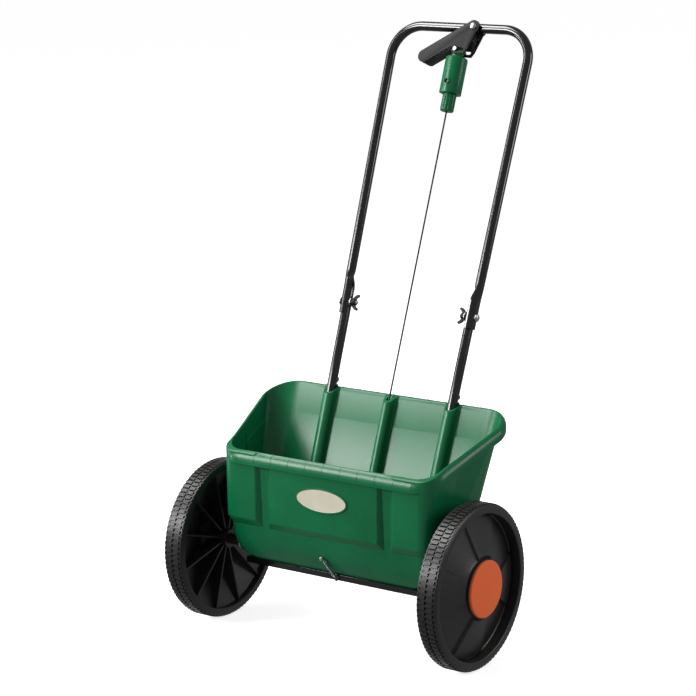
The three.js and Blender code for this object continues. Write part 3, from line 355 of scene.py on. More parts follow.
# %% Dust on faces that look up
dust_group, given, result = new_group("dust", {"Amount": 0.3}, "Mask")
facing = dust_group.nodes.new("ShaderNodeNewGeometry")
apart = dust_group.nodes.new("ShaderNodeSeparateXYZ")
dust_group.links.new(facing.outputs["Normal"], apart.inputs[0])
up = spread(dust_group, apart.outputs["Z"], 0.35, 1.0)
grit = noise(dust_group, 90, object_place(dust_group), 5, 0.7)
lying = sums(dust_group, "MULTIPLY", up, spread(dust_group, grit, 0.35, 0.75))
dust_group.links.new(sums(dust_group, "MULTIPLY", lying, given.outputs["Amount"]), result.inputs[0])
print("shared effects:", [group.name for group in bpy.data.node_groups])

# %% [markdown]
# A colour is written as the eye sees it, from 0 to 255. Blender's sockets want light values, so a
# small helper converts it. Every finish mixes a deep and a light tone by the clouds, lightens its
# scuffs and dulls its dust, and the roughness follows the same masks.


# %% Make a finish
def tone(*levels):
    def light(level):
        part = level / 255
        return part / 12.92 if part <= 0.04045 else ((part + 0.055) / 1.055) ** 2.4
    return (*[light(level) for level in levels], 1)


def placed_group(tree, group, **values):
    node = tree.nodes.new("ShaderNodeGroup")
    node.node_tree = group
    for name, value in values.items():
        node.inputs[name].default_value = value
    return node.outputs[0]


def mixed(tree, mask, first, second):
    node = tree.nodes.new("ShaderNodeMix")
    node.data_type = "RGBA"
    tree.links.new(mask, node.inputs[0])
    for socket, value in zip((node.inputs[6], node.inputs[7]), (first, second)):
        if isinstance(value, tuple):
            socket.default_value = value
        else:
            tree.links.new(value, socket)
    return node.outputs[2]


def make_finish(name, deep, light, rough, metal=0.0, coat=0.0, scale=1500, bump=0.1,
                scuff=0.5, dust=0.2, scuff_tone=(150, 152, 150), clouds=9, specular=0.5):
    material = bpy.data.materials.new(name)
    material.use_nodes = True
    tree = material.node_tree
    shader = tree.nodes["Principled BSDF"]
    cloud = placed_group(tree, cloud_group, Scale=clouds)
    rubbed = placed_group(tree, scuff_group, Amount=scuff)
    dusty = placed_group(tree, dust_group, Amount=dust)
    base = mixed(tree, cloud, tone(*deep), tone(*light))
    base = mixed(tree, rubbed, base, tone(*scuff_tone))
    base = mixed(tree, dusty, base, tone(150, 142, 126))
    tree.links.new(base, shader.inputs["Base Color"])
    dull = sums(tree, "MULTIPLY_ADD", cloud, 0.06, rough - 0.03)
    dull = sums(tree, "MULTIPLY_ADD", rubbed, 0.2, dull)
    tree.links.new(sums(tree, "MULTIPLY_ADD", dusty, 0.5, dull), shader.inputs["Roughness"])
    shader.inputs["Metallic"].default_value = metal
    shader.inputs["Coat Weight"].default_value = coat
    shader.inputs["Coat Roughness"].default_value = 0.08
    shader.inputs["Specular IOR Level"].default_value = specular
    relief = tree.nodes.new("ShaderNodeBump")
    relief.inputs["Strength"].default_value = bump
    relief.inputs["Distance"].default_value = 0.0004
    tree.links.new(placed_group(tree, grain_group, Scale=scale, Ripple=0.5), relief.inputs["Height"])
    tree.links.new(relief.outputs["Normal"], shader.inputs["Normal"])
    return material


# %% The finishes
finishes = {
    "green_plastic": make_finish(
        "green_plastic", (0, 92, 53), (6, 108, 66), 0.3, scale=1100, bump=0.03,
        scuff=0.15, dust=0.03, scuff_tone=(90, 150, 118), specular=0.34),
    "black_plastic": make_finish(
        "black_plastic", (20, 20, 20), (30, 30, 29), 0.38, scale=1300, bump=0.1,
        scuff=0.4, dust=0.06, scuff_tone=(95, 95, 92)),
    "lever_plastic": make_finish(
        "lever_plastic", (10, 10, 10), (16, 16, 15), 0.55, scale=1600, bump=0.08,
        scuff=0.25, dust=0.03, scuff_tone=(80, 80, 78), specular=0.3),
    "orange_plastic": make_finish(
        "orange_plastic", (250, 108, 56), (253, 120, 66), 0.5, scale=1200, bump=0.08,
        scuff=0.2, dust=0.06, scuff_tone=(240, 160, 130), specular=0.25),
    "black_paint": make_finish(
        "black_paint", (3, 3, 4), (7, 7, 8), 0.16, coat=0.5, scale=700, bump=0.012,
        scuff=0.12, dust=0.02, scuff_tone=(80, 80, 82)),
    "zinc_steel": make_finish(
        "zinc_steel", (150, 152, 156), (196, 198, 202), 0.34, metal=1.0, scale=2200, bump=0.12,
        scuff=0.6, dust=0.1, scuff_tone=(225, 225, 228), clouds=60),
    "dark_steel": make_finish(
        "dark_steel", (40, 41, 43), (62, 63, 66), 0.42, metal=0.85, scale=1800, bump=0.14,
        scuff=0.6, dust=0.12, scuff_tone=(150, 150, 150), clouds=40),
    "white_nylon": make_finish(
        "white_nylon", (206, 202, 188), (222, 219, 208), 0.5, scale=1300, bump=0.12,
        scuff=0.2, dust=0.15, scuff_tone=(180, 175, 160)),
    "label_paper": make_finish(
        "label_paper", (196, 190, 168), (210, 205, 186), 0.45, coat=0.2, scale=2600, bump=0.05,
        scuff=0.25, dust=0.05, scuff_tone=(205, 200, 186), clouds=30),
}
print("finishes:", list(finishes))

# %% [markdown]
# Each piece then gets its finish and the body it rides on, and the CAD nodes it stands for are hidden.


# %% Finish, body and stand-in
def dress(piece, finish, body, *stands_for):
    """Give the piece its finish and body, and hide the CAD nodes it stands for. The lever's finish is a
    duller kind of the black plastic.
    """
    piece.data.materials.clear()
    piece.data.materials.append(finishes[finish])
    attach(piece, body)
    if stands_for:
        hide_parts(*stands_for)
    print(piece.name, "rides on", body, "with", len(piece.data.polygons), "faces")
    return piece


# %% [markdown]
# ## Places
# The handle leans back, and everything on it is laid out in its own frame: x across, y square to the
# tubes, z up along them. The lever's pivot lies on the cross bar, so it gives that frame's origin.

# %% The handle's frame
rod_axis = Vector(joints["rod_travel"]["axis"])
lean = math.atan(rod_axis.y / rod_axis.z)
pivot = Vector(joints["lever_swing"]["pos_m"])
handle_place = Matrix.Translation((0, pivot.y, pivot.z)) @ Matrix.Rotation(-lean, 4, "X")
TAPER = math.radians(0.88)
TUBE_SPACING = 126  # from the middle of the handle to the joint bolt
JOINT_DROP = 495  # down the handle from the cross bar to the joint bolts
AXLE_DROP = 422  # and from there to the height of the axle
TUBE_RADIUS = 8.25
SCREW_HOLE = 2.5
BOLT_HOLE = 3.3


def tube_place(side):
    """x across, y back, z up along the lower tube, from the middle of the joint bolt."""
    bolt = Matrix.Translation((side * TUBE_SPACING * MM, 0, -JOINT_DROP * MM))
    return handle_place @ bolt @ Matrix.Rotation(side * TAPER, 4, "Y")


print("the handle leans back", round(math.degrees(lean), 2), "degrees")

# %% [markdown]
# ## The hopper
# The hopper is one green moulding: a narrow trough over the ports, a shoulder, and tall walls that
# widen up to a rolled rim. Its walls are one outline that changes with height, so a skin is grown
# through a level at each height. The same skin a wall's thickness smaller is then cut out of it.

# %% Levels of the hopper
HALF = 236
WALL = 3
RIM_RISE = 176.5  # of the front of the rim, over the axle
BACK_RISE = 256.5
LEDGE = 46.5
GROOVE_Y = -48
PANEL_PROUD = 9
PANEL_Y = GROOVE_Y - PANEL_PROUD
GROOVE_IN, GROOVE_OUT = 117.5, 129
CORNER_STEPS = 10


def slope_y(rise, offset):
    """y of a plane along the tubes, `offset` behind their axes, at a height above the axle."""
    return 49 + rise * math.tan(lean) + offset / math.cos(lean)


def make_level(front, z_front, back, z_back, in_front, in_back, round_front, round_back):
    return {"front": front, "back": back, "z": z_front, "z_back": z_back, "round_front": round_front,
            "half_front": HALF - in_front, "half_back": HALF - in_back, "round_back": round_back}


levels = [
    make_level(-25, -15.5, 30, -15.5, 68, 68, 12, 12),
    make_level(-33, -7.5, slope_y(-7.5, -8), -7.5, 50, 50, 16, 16),
    make_level(-41, 10.5, slope_y(10.5, -8), 10.5, 36, 33, 20, 20),
    make_level(-46, 27.5, slope_y(27.5, -8), 27.5, 32, 26, 22, 22),
    make_level(-48, LEDGE, slope_y(LEDGE - 3, -8), LEDGE - 3, 30, 22, 24, 24),
    make_level(-48.7, LEDGE + 14, slope_y(LEDGE + 12.5, 5), LEDGE + 12.5, 29, 19, 26, 32),
    make_level(-52, RIM_RISE, slope_y(BACK_RISE, 5), BACK_RISE, 27, 0, 34, 46),
]
rim_level = levels[-1]
rim_slope = (rim_level["z_back"] - rim_level["z"]) / (rim_level["back"] - rim_level["front"])


def level_ring(level, grow=0.0, lift=0.0):
    """Points round a level, `grow` outwards and `lift` up, in millimetres from the axle's middle."""
    front, back = level["front"], level["back"]
    slope = (level["z_back"] - level["z"]) / (back - front)
    corners = [
        (level["half_front"], front, level["round_front"], -90, 1, 1),
        (level["half_back"], back, level["round_back"], 0, 1, -1),
        (-level["half_back"], back, level["round_back"], 90, -1, -1),
        (-level["half_front"], front, level["round_front"], 180, -1, 1),
    ]
    ring = []
    for x, y, radius, start, in_x, in_y in corners:
        for step in range(CORNER_STEPS + 1):
            angle = math.radians(start + 90 * step / CORNER_STEPS)
            reach = max(radius + grow, 1)
            point_y = y + in_y * radius + reach * math.sin(angle)
            point_x = x - in_x * radius + reach * math.cos(angle)
            ring.append((point_x, point_y, level["z"] + slope * (point_y - front) + lift))
    return ring


def at_axle(ring):
    return [AXLE + MM * Vector(point) for point in ring]


print("rim rises", round(math.degrees(math.atan(rim_slope)), 1), "degrees to the back")


# %% Walls, front panels and rim, outside and inside
def walls(name, grow, floor_lift):
    rings = [level_ring(level, grow, floor_lift if level is levels[0] else 0) for level in levels]
    if grow < 0:
        rings[-1:] = mouth_rings(grow)
    else:
        rings[-1] = level_ring(rim_level, grow, -1.2)
    return grow_skin(name, [at_axle(ring) for ring in rings])


def level_between(share):
    """A level part of the way from the shoulder, 0, up to the rim, 1."""
    low, top = levels[5], levels[6]
    return {key: low[key] + (top[key] - low[key]) * share for key in low}


def mouth_rings(grow):
    """The top of the wall is a little thinner, which leaves a crease all round. Its edge is round."""
    rings = [level_ring(level_between(share), grow + more)
             for share, more in ((0.75, 0), (0.757, 0.7), (0.97, 1.5))]
    rings += [level_ring(rim_level, grow + more, lift) for more, lift in (
        (1.7, -1.5), (2.0, -0.7), (2.5, -0.1), (2.8, 0.2), (2.9, 9))]
    return rings


def middle_panel(name, inset):
    """The middle of the front stands proud, with a sloping foot and sloping sides."""
    back = GROOVE_Y + WALL - 1 + 2 * inset

    def ring(z, face, half):
        edge = GROOVE_IN + (back - GROOVE_Y) - inset
        return at_axle([(-edge, back, z), (-half + inset, face + inset, z),
                        (half - inset, face + inset, z), (edge, back, z)])

    return grow_skin(name, [
        ring(LEDGE + inset, GROOVE_Y + 0.4, GROOVE_IN - 0.4),
        ring(LEDGE + 13 + inset, PANEL_Y, GROOVE_IN - PANEL_PROUD),
        ring(LEDGE + 1.2 * RIM_RISE, PANEL_Y - 1, GROOVE_IN - PANEL_PROUD),
    ])


def side_panels(name, inset):
    """The outer panels wrap round the corners. They are one block with its middle cut away."""
    back = 20

    def ring(front, rise, extra, wall, grow, lift=0):
        share = (back - wall["front"]) / (wall["back"] - wall["front"])
        half_back = wall["half_front"] + (wall["half_back"] - wall["half_front"]) * share - 1
        slant = rim_slope * (back - front) if wall is rim_level else 0
        return at_axle(level_ring({
            "front": front, "back": back, "round_front": 24, "round_back": 2,
            "half_front": wall["half_front"] + extra, "half_back": half_back,
            "z": rise, "z_back": rise + slant}, grow, lift))

    block = grow_skin(name, [
        ring(GROOVE_Y + 0.4, LEDGE, -0.5, levels[4], -inset, inset),
        ring(PANEL_Y, LEDGE + 13, 2, levels[5], -inset, inset),
        ring(PANEL_Y - 1, RIM_RISE - 2, 2, rim_level, -inset),
    ])
    reach = PANEL_PROUD + 6
    near, far = GROOVE_OUT - reach + 1.4 * inset, GROOVE_OUT + reach + 1.4 * inset
    outline = [(-near, GROOVE_Y + reach), (-far, GROOVE_Y - reach), (far, GROOVE_Y - reach),
               (near, GROOVE_Y + reach)]
    middle = grow_skin("between", [at_axle([(x, y, z) for x, y in outline]) for z in (-60, 300)])
    return unite(block, [middle], "DIFFERENCE")


def above_rim(lift=0.0):
    def ring(extra):
        return at_axle([(x, y, RIM_RISE + rim_slope * (y - rim_level["front"]) + lift + extra)
                        for x, y in ((-350, -250), (350, -250), (350, 350), (-350, 350))])
    return grow_skin("above the rim", [ring(0), ring(300)])


ROLL = [(8.6, -19), (9.0, -18.4), (9.0, -13), (8.6, -10), (7.9, -7.4), (6.8, -5), (5.3, -2.9), (3.5, -1.4),
        (1.6, -0.4), (-0.3, 0)]


def rolled_rim():
    """A skirt hangs from the rim, and its top is rolled over in a broad curve."""
    outside = grow_skin("rim", [at_axle(level_ring(rim_level, grow, lift)) for grow, lift in ROLL])
    under = grow_skin("under the rim", [
        at_axle(level_ring(rim_level, grow, lift))
        for grow, lift in ((6.4, -20), (6.2, -12), (4.6, -6.6), (2.5, -4.4), (0.5, -3.4))])
    rim = unite(outside, [under], "DIFFERENCE")
    ticks = []
    for x in range(-175, 176, 35):
        for front in (True, False):
            ticks.append(rim_tick(x, front))
    activate(ticks[0])
    for tick in ticks[1:]:
        tick.select_set(True)
    bpy.ops.object.join()
    return unite(rim, [ticks[0]])


def rim_tick(x, front):
    """A hair-line rib left by the mould, over the roll of the rim."""
    edge = rim_level["front"] if front else rim_level["back"]
    out = -1 if front else 1
    outline = []
    for shift in (0.45, -1.2):
        points = [(edge + out * (grow + shift), lift + 0.7 * shift) for grow, lift in ROLL[2:-1]]
        outline += points if shift > 0 else list(reversed(points))

    def ring(across):
        return at_axle([(x + across, y, RIM_RISE + rim_slope * (y - rim_level["front"]) + lift)
                        for y, lift in outline])

    return grow_skin("tick", [ring(-0.6), ring(0.6)])


outside = walls("hopper_body", 0, 0)
panels = [unite(middle_panel("panel", 0), [above_rim(-2)], "DIFFERENCE"), side_panels("panels", 0)]
for panel in panels:
    soften(panel, 1.8, 3, 20)
unite(outside, panels + [rolled_rim()])
inside = walls("inside", -WALL, WALL)
hollows = [unite(hollow, [above_rim(-19)], "DIFFERENCE")
           for hollow in (middle_panel("hollow", WALL), side_panels("hollows", WALL))]
unite(inside, hollows)
unite(outside, [inside], "DIFFERENCE")
print("hopper shell:", len(outside.data.polygons), "faces")

# %% [markdown]
# ## Columns for the tubes
# The handle's tubes and the control rod run down inside moulded columns on the back wall. A column is
# a round bar whose sides flare into the wall, so its section is an arc with two hollow curves.


# %% Round bars and flared columns
def bar(name, place, radius, low, high, middle=(0, 0), steps=48, turned_to="Z"):
    """A closed round bar between two heights of a frame, along one of its directions."""
    deselect()
    bpy.ops.mesh.primitive_cylinder_add(
        vertices=steps, radius=radius * MM, depth=(high - low) * MM,
        location=(0, 0, (low + high) / 2 * MM))
    piece = bpy.context.object
    piece.name = name
    activate(piece)
    bpy.ops.object.transform_apply(location=True)
    a, b = middle[0] * MM, middle[1] * MM
    turned = {
        "Z": Matrix.Translation((a, b, 0)),
        "Y": Matrix.Translation((a, 0, b)) @ Matrix.Rotation(-math.pi / 2, 4, "X"),
        "X": Matrix.Translation((0, a, b)) @ Matrix.Rotation(math.pi / 2, 4, "Y"),
    }[turned_to]
    return settle(piece, place @ turned)


def column(name, place, radius, low, high, centre=0.0, wall_at=3.0):
    """The front of the round bar and a hollow curve to the wall on each side."""
    section = []
    for step in range(25):
        angle = math.radians(-155 + 130 * step / 24)
        section.append((radius * math.cos(angle), centre + radius * math.sin(angle)))
    start = section[-1]
    corner = (start[0] + 0.9, wall_at - 0.6)
    end = (start[0] + 5, wall_at)
    flare = []
    for step in range(1, 9):
        t = step / 8
        flare.append(tuple((1 - t) ** 2 * a + 2 * t * (1 - t) * b + t * t * c
                           for a, b, c in zip(start, corner, end)))
    right = flare + [(end[0], wall_at + 1.2)]
    left = [(-x, y) for x, y in reversed(right)]
    ring = section + right + left
    rings = [[place @ (MM * Vector((x, y, z))) for x, y in ring] for z in (low, high)]
    return grow_skin(name, rings)


BOSS_RADIUS = 11.65
ROD_BOSS_RADIUS = 9.5
ROD_BORE_Y = -3
FLARE_MORE = 0.25  # a flare just covers its round bar
foot = 32 - AXLE_DROP
column_top = BACK_RISE / math.cos(lean) - AXLE_DROP + 40
rod_foot = (LEDGE + 1) / math.cos(lean) - AXLE_DROP - JOINT_DROP
shoulder = (LEDGE + 15) / math.cos(lean) - AXLE_DROP
columns = []
for side in (-1, 1):
    columns.append(bar("boss", tube_place(side), BOSS_RADIUS, foot - 7, column_top))
    columns.append(column("flare", tube_place(side), BOSS_RADIUS + FLARE_MORE, shoulder, column_top))
columns.append(bar("boss", handle_place, ROD_BOSS_RADIUS, rod_foot, -JOINT_DROP, (0, ROD_BORE_Y)))
columns.append(column("flare", handle_place, ROD_BOSS_RADIUS + FLARE_MORE,
                      shoulder - JOINT_DROP, -JOINT_DROP, ROD_BORE_Y))
for boss in columns:
    unite(boss, [above_rim(-0.6)], "DIFFERENCE")
axle_place = Matrix.Translation(AXLE)
for side in (-1, 1):
    columns.append(bar("bush boss", axle_place, 13.9, *sorted((side * 184.2, side * 205.8)), steps=40,
                       turned_to="X"))
crank_at = (joints["crank_swing"]["pos_m"][0] / MM,
            (handle_place.inverted() @ Vector(joints["crank_swing"]["pos_m"])).z / MM)
columns.append(bar("crank seat", handle_place, 7, -10, 0.2, crank_at, 32, "Y"))
unite(outside, columns)
print("columns joined:", len(outside.data.polygons), "faces")

# %% Holes for tubes, rod, axle, screws and seed
holes = []
for side in (-1, 1):
    holes.append(bar("bore", tube_place(side), 8.65, foot - 20, column_top + 1))
    holes.append(bar("lock hole", tube_place(side), SCREW_HOLE, 0, 20, (0, foot + 14), 20, "Y"))
    holes.append(bar("bush hole", axle_place, 9.45, *sorted((0, side * 472)), turned_to="X"))
holes.append(bar("rod bore", handle_place, 5, rod_foot - 9, -JOINT_DROP + 1, (0, ROD_BORE_Y), 32))
holes.append(bar("crank hole", handle_place, SCREW_HOLE, -9.5, 1.5, crank_at, 20, "Y"))
holes.append(bar("peg hole", axle_place, SCREW_HOLE, -46.6, -35.6, (-9, 12.5), 20, "Y"))
for screw_x in (-140, 140):
    for screw_y in (-16, 16):
        holes.append(bar("slide hole", axle_place, SCREW_HOLE, -16.5, -11.5, (screw_x, screw_y), 20))
PORTS = 12
port_pitch = 2 * (HALF - 68 - 14) / (PORTS - 1)
for place in range(PORTS):
    deselect()
    port_x = (place - (PORTS - 1) / 2) * port_pitch
    bpy.ops.mesh.primitive_cube_add(size=1, location=AXLE + MM * Vector((port_x, 0, -14)))
    port = bpy.context.object
    port.scale = (8 * MM, 14 * MM, 5 * MM)
    settle(port, Matrix.Identity(4))
    soften(port, 2.5, 3, 60)
    holes.append(port)
unite(outside, holes, "DIFFERENCE")
tidy_mesh(outside, 0.000002)
smooth(outside, 28)
outside.name = "hopper_moulding"
dress(outside, "green_plastic", "frame", "hopper")

# %% [markdown]
# ## The wheels
# Each wheel is one black moulding. A lathe outline gives the tread band, the dished web, the collar
# and the hub. The tread blocks are faces of that band pushed outwards, in two staggered rows, and
# the four raised fields of the web are pushed out in the same way.

# %% Outline of a wheel, and its tread
WHEEL_STEPS = 288
RIBS = 12
TREAD_FLOOR = 134.3  # faces further out than this belong to the tread
WHEELS = ((1, "right", "drive"), (-1, "left", "left_wheel"))
wheel_outline = [
    (5.3, -19), (16, -19), (16, 6), (48.5, 6), (48.5, 15.5), (120.5, -5.4), (122.5, -6), (122.5, -17),
    (123.4, -18), (132.5, -18), (133.8, -17.2), (134.6, -16.6), (134.8, -13.4), (134.8, -0.8),
    (134.8, 0.8), (134.8, 13.4), (134.6, 16.6), (133.8, 17.2), (132.5, 18), (122.4, 18), (121.3, 17.3),
    (120.9, 16.2), (120.5, -0.6), (119, -1.6), (112, -0.2), (66, 13.4), (52, 17.7), (49.6, 18.8),
    (48.5, 20.4), (48.5, 23.6), (47.9, 24.5), (45.1, 24.5), (44.5, 23.9), (44.5, 10), (16, 10),
    (16, 12), (5.3, 12), (5.3, -19),
]


def wheel_moulding(name):
    wheel = turn(name, wheel_outline, WHEEL_STEPS)
    ribs = []
    for count in range(RIBS):
        angle = 2 * math.pi * (count + 0.5) / RIBS
        outline = [(15, -12), (123.5, -12), (123.5, -4), (49.5, 18), (47, 8), (15, 8)]
        rings = []
        for across in (-1.5, 1.5):
            rings.append([MM * Vector((
                r * math.cos(angle) - across * math.sin(angle),
                r * math.sin(angle) + across * math.cos(angle), z)) for r, z in outline])
        ribs.append(grow_skin("rib", rings))
    activate(ribs[0])
    for rib in ribs[1:]:
        rib.select_set(True)
    bpy.ops.object.join()
    unite(wheel, [ribs[0]])

    activate(wheel)
    bpy.ops.object.mode_set(mode="EDIT")

    def sector(face):
        middle = face.calc_center_median()
        return int(math.degrees(math.atan2(middle.y, middle.x)) % 360 / 360 * WHEEL_STEPS)

    def on_tread(face):
        middle = face.calc_center_median() / MM
        if math.hypot(middle.x, middle.y) < TREAD_FLOOR or not 1.2 < abs(middle.z) < 13.3:
            return False
        shift = 0 if middle.z > 0 else 1
        return (sector(face) + shift) % 3 != 0

    def on_shoulder(face):
        middle = face.calc_center_median() / MM
        beside = 13.5 < abs(middle.z) < 16.5
        return math.hypot(middle.x, middle.y) > TREAD_FLOOR and beside and sector(face) % 3 != 1

    def raised_field(face):
        middle = face.calc_center_median() / MM
        radius = math.hypot(middle.x, middle.y)
        if not 50.5 < radius < 119 or face.normal.z < 0.5:
            return False
        around = math.degrees(math.atan2(middle.y, middle.x)) % 90
        return abs(around - 82.5) < 22.5 or abs(around + 7.5) < 22.5

    pick("FACE", on_tread)
    bpy.ops.mesh.inset(thickness=0.45 * MM, depth=2.7 * MM)
    pick("FACE", on_shoulder)
    bpy.ops.mesh.inset(thickness=0.3 * MM, depth=1.2 * MM)
    pick("FACE", raised_field)
    bpy.ops.mesh.inset(thickness=2.2 * MM, depth=4 * MM)
    bpy.ops.object.mode_set(mode="OBJECT")
    return wheel


def wheel_place(side):
    out = Vector((side, 0, 0))
    back = Vector((0, 1, 0))
    up = out.cross(back)
    turned = Matrix((back, up, out)).transposed().to_4x4()
    return Matrix.Translation((side * hub.x, AXLE.y, AXLE.z)) @ turned


def place_wheel(wheel, side, label, body):
    wheel.data.transform(wheel_place(side))
    smooth(wheel, 32)
    dress(wheel, "black_plastic", body, "wheel_" + label)


right_wheel = wheel_moulding("wheel_right_moulding")
plain_mesh = right_wheel.data.copy()
print("wheel moulding:", len(plain_mesh.polygons), "faces")

# %% The right wheel gets a slot for the drive pin, and the left wheel is a copy without it
deselect()
bpy.ops.mesh.primitive_cube_add(size=1, location=(0, 0, -14.7 * MM))
pin_slot = bpy.context.object
pin_slot.scale = (34 * MM, 4.6 * MM, 10 * MM)
settle(pin_slot, Matrix.Identity(4))
unite(right_wheel, [pin_slot], "DIFFERENCE")
place_wheel(right_wheel, *WHEELS[0])
left_wheel = right_wheel.copy()
left_wheel.data = plain_mesh
left_wheel.name = "wheel_left_moulding"
bpy.context.scene.collection.objects.link(left_wheel)
place_wheel(left_wheel, *WHEELS[1])

# %% [markdown]
# The orange caps are turned discs with two legs that clip through the wheel.

# %% Hub caps
for side, label, body in WHEELS:
    cap = turn("hub_cap_" + label + "_disc", [
        (0, 24.8), (47.3, 24.8), (47.3, 27.2), (47.0, 28.1), (46.3, 28.7), (45.2, 29.0),
        (42, 29.3), (24, 29.7), (0, 29.8)], 96)
    legs = [bar("leg", Matrix.Identity(4), 3, -0.2, 25.4, (0, up * 37), 32) for up in (-1, 1)]
    for leg in legs:
        soften(leg, 0.8, 2, 60)
    unite(cap, legs)
    cap.data.transform(wheel_place(side))
    smooth(cap, 35)
    dress(cap, "orange_plastic", body, "hub_cap_" + label)

# %% [markdown]
# ## The handle
# The push handle is one bent tube. Its lower ends are flattened into saddles that wrap the lower
# tubes. A skin is grown along the whole length: crescent rings at the saddle, which turn into full
# circles, follow the two bends and the cross bar, and end in the other saddle.

# %% Upper handle
BEND = 55
SADDLE_OFFSET = 4.5
AROUND = 40
SADDLE_END = 27  # above the bolt, where the saddle starts to become round
BEND_STEPS = 18
corner_x = TUBE_SPACING + SADDLE_OFFSET + JOINT_DROP * math.tan(TAPER)
handle_back = (handle_place.to_3x3() @ Vector((0, 1, 0))).normalized()


def crescent_ring(side, height):
    """The saddle's section in the tube's frame: an outer arc and an inner arc."""
    ring = []
    for step in range(AROUND):
        turn_by = step / AROUND * 2
        outer = turn_by < 1
        swing = math.radians(-100 + 200 * (turn_by if outer else 2 - turn_by))
        radius = 11.15 if outer else 8.55
        ring.append(tube_place(side) @ (MM * Vector((
            side * radius * math.cos(swing), side * radius * math.sin(swing), height))))
    return ring


def circle_ring(centre, outwards, side):
    """The round section of the tube. `side` turns it the same way round as the saddle's section."""
    ring = []
    for step in range(AROUND):
        swing = math.radians(-90) + step / AROUND * 2 * math.pi
        ring.append(centre + MM * TUBE_RADIUS * (
            math.cos(swing) * outwards + side * math.sin(swing) * handle_back))
    return ring


def blended(first, second, share):
    return [a.lerp(b, share) for a, b in zip(first, second)]


def side_rings(side):
    """From the tip of the saddle up to the start of the bend."""
    place = tube_place(side)
    outwards = (place.to_3x3() @ Vector((side, 0, 0))).normalized()
    rings = [crescent_ring(side, height) for height in (-20, -12, 0, 12, 23, SADDLE_END)]
    for step in range(1, 11):
        share = step / 10
        eased = share * share * (3 - 2 * share)
        height = SADDLE_END + 30 * share
        centre = place @ (MM * Vector((side * SADDLE_OFFSET, 0, height)))
        circle = circle_ring(centre, outwards, side)
        rings.append(blended(crescent_ring(side, height), circle, eased))
    return rings


def bend_rings(side):
    """Round the corner, from the side tube to the cross bar."""
    reach = BEND * math.tan((math.pi / 2 - TAPER) / 2)
    centre = Vector((side * (corner_x - reach), 0, -BEND))
    rings = []
    for step in range(BEND_STEPS + 1):
        swing = TAPER + (math.pi / 2 - TAPER) * step / BEND_STEPS
        outwards = Vector((side * math.cos(swing), 0, math.sin(swing)))
        point = handle_place @ (MM * (centre + BEND * outwards))
        direction = (handle_place.to_3x3() @ outwards).normalized()
        rings.append(circle_ring(point, direction, side))
    return rings


def mirrored_order(ring):
    """The right side's section runs the other way round, so its points are taken in reverse."""
    return [ring[(AROUND // 2 - step) % AROUND] for step in range(AROUND)]


left_half = side_rings(-1) + bend_rings(-1)
right_half = [mirrored_order(ring) for ring in side_rings(1) + bend_rings(1)]
upper = grow_skin("upper_handle_tube", left_half + list(reversed(right_half)))
lever_hole = bar("lever hole", handle_place, BOLT_HOLE, -20, 20, (27, 0), 32, "Y")
bolt_holes = [bar("bolt hole", tube_place(side), BOLT_HOLE, -20, 20, turned_to="X")
              for side in (-1, 1)]
unite(upper, bolt_holes + [lever_hole], "DIFFERENCE")
smooth(upper, 40)
dress(upper, "black_paint", "frame", "upper_handle")

# %% Lower tubes
INNER_RADIUS = 7.0
TUBE_END = 24  # above the joint bolt
for side, label in ((-1, "left"), (1, "right")):
    place = tube_place(side)
    tube = turn("lower_tube_" + label + "_fine", [
        (INNER_RADIUS, foot), (8.0, foot), (TUBE_RADIUS, foot + 0.4), (TUBE_RADIUS, TUBE_END - 0.4),
        (8.0, TUBE_END), (INNER_RADIUS, TUBE_END), (INNER_RADIUS, foot)], 64)
    tube.data.transform(place)
    stop_low, stop_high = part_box("tube_stop_screw_" + label)
    stop_at = place.inverted() @ ((stop_low + stop_high) / 2)
    holes = [
        bar("bolt hole", place, BOLT_HOLE, -20, 20, turned_to="X"),
        bar("stop hole", place, SCREW_HOLE, 3, 20, (0, stop_at.z / MM), 24, "Y"),
        bar("lock hole", place, SCREW_HOLE, 3, 20, (0, foot + 14), 24, "Y"),
    ]
    unite(tube, holes, "DIFFERENCE")
    smooth(tube, 35)
    dress(tube, "black_paint", "frame", "lower_tube_" + label)

# %% [markdown]
# ## The plain oval label
# A thin oval plate sits on the front panel. It is a flattened circle with a fine step round its
# border, and it carries no lettering.

# %% Label
low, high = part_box("front_label")
deselect()
bpy.ops.mesh.primitive_circle_add(vertices=96, radius=1, fill_type="NGON")
label_plate = bpy.context.object
label_plate.name = "front_label_oval"
label_plate.scale = (52 * MM, 21 * MM, 1)
bpy.ops.object.transform_apply(scale=True)
bpy.ops.object.mode_set(mode="EDIT")
bpy.ops.mesh.select_all(action="SELECT")
bpy.ops.mesh.extrude_region_move(TRANSFORM_OT_translate={"value": (0, 0, 0.7 * MM)})
bpy.ops.mesh.inset(thickness=0.4 * MM, depth=0.1 * MM)
bpy.ops.mesh.inset(thickness=2.2 * MM, depth=0)
bpy.ops.mesh.inset(thickness=0.3 * MM, depth=-0.25 * MM)
bpy.ops.mesh.select_all(action="SELECT")
bpy.ops.mesh.normals_make_consistent(inside=False)
bpy.ops.object.mode_set(mode="OBJECT")
label_middle = (low + high) / 2
face_lean = math.atan(1 / (1.2 * RIM_RISE - 13))  # the middle panel leans out by 1 mm
settle(label_plate, Matrix.Translation((label_middle.x, label_middle.y + 0.4 * MM, label_middle.z))
       @ Matrix.Rotation(math.pi / 2 - face_lean, 4, "X"))
smooth(label_plate, 30)
dress(label_plate, "label_paper", "frame", "front_label")
label_plate.data.materials.append(finishes["green_plastic"])
for face in label_plate.data.polygons:
    edge = (face.center - label_middle) / MM
    if (edge.x / 49.6) ** 2 + (edge.z / 18.6) ** 2 > 0.98:
        face.material_index = 1

# %% [markdown]
# ## Lever, setting housing and knob
# These small parts already have their true outline in the CAD model, so each is refined: a copy with
# whole faces and rounded edges, and then its own finish.

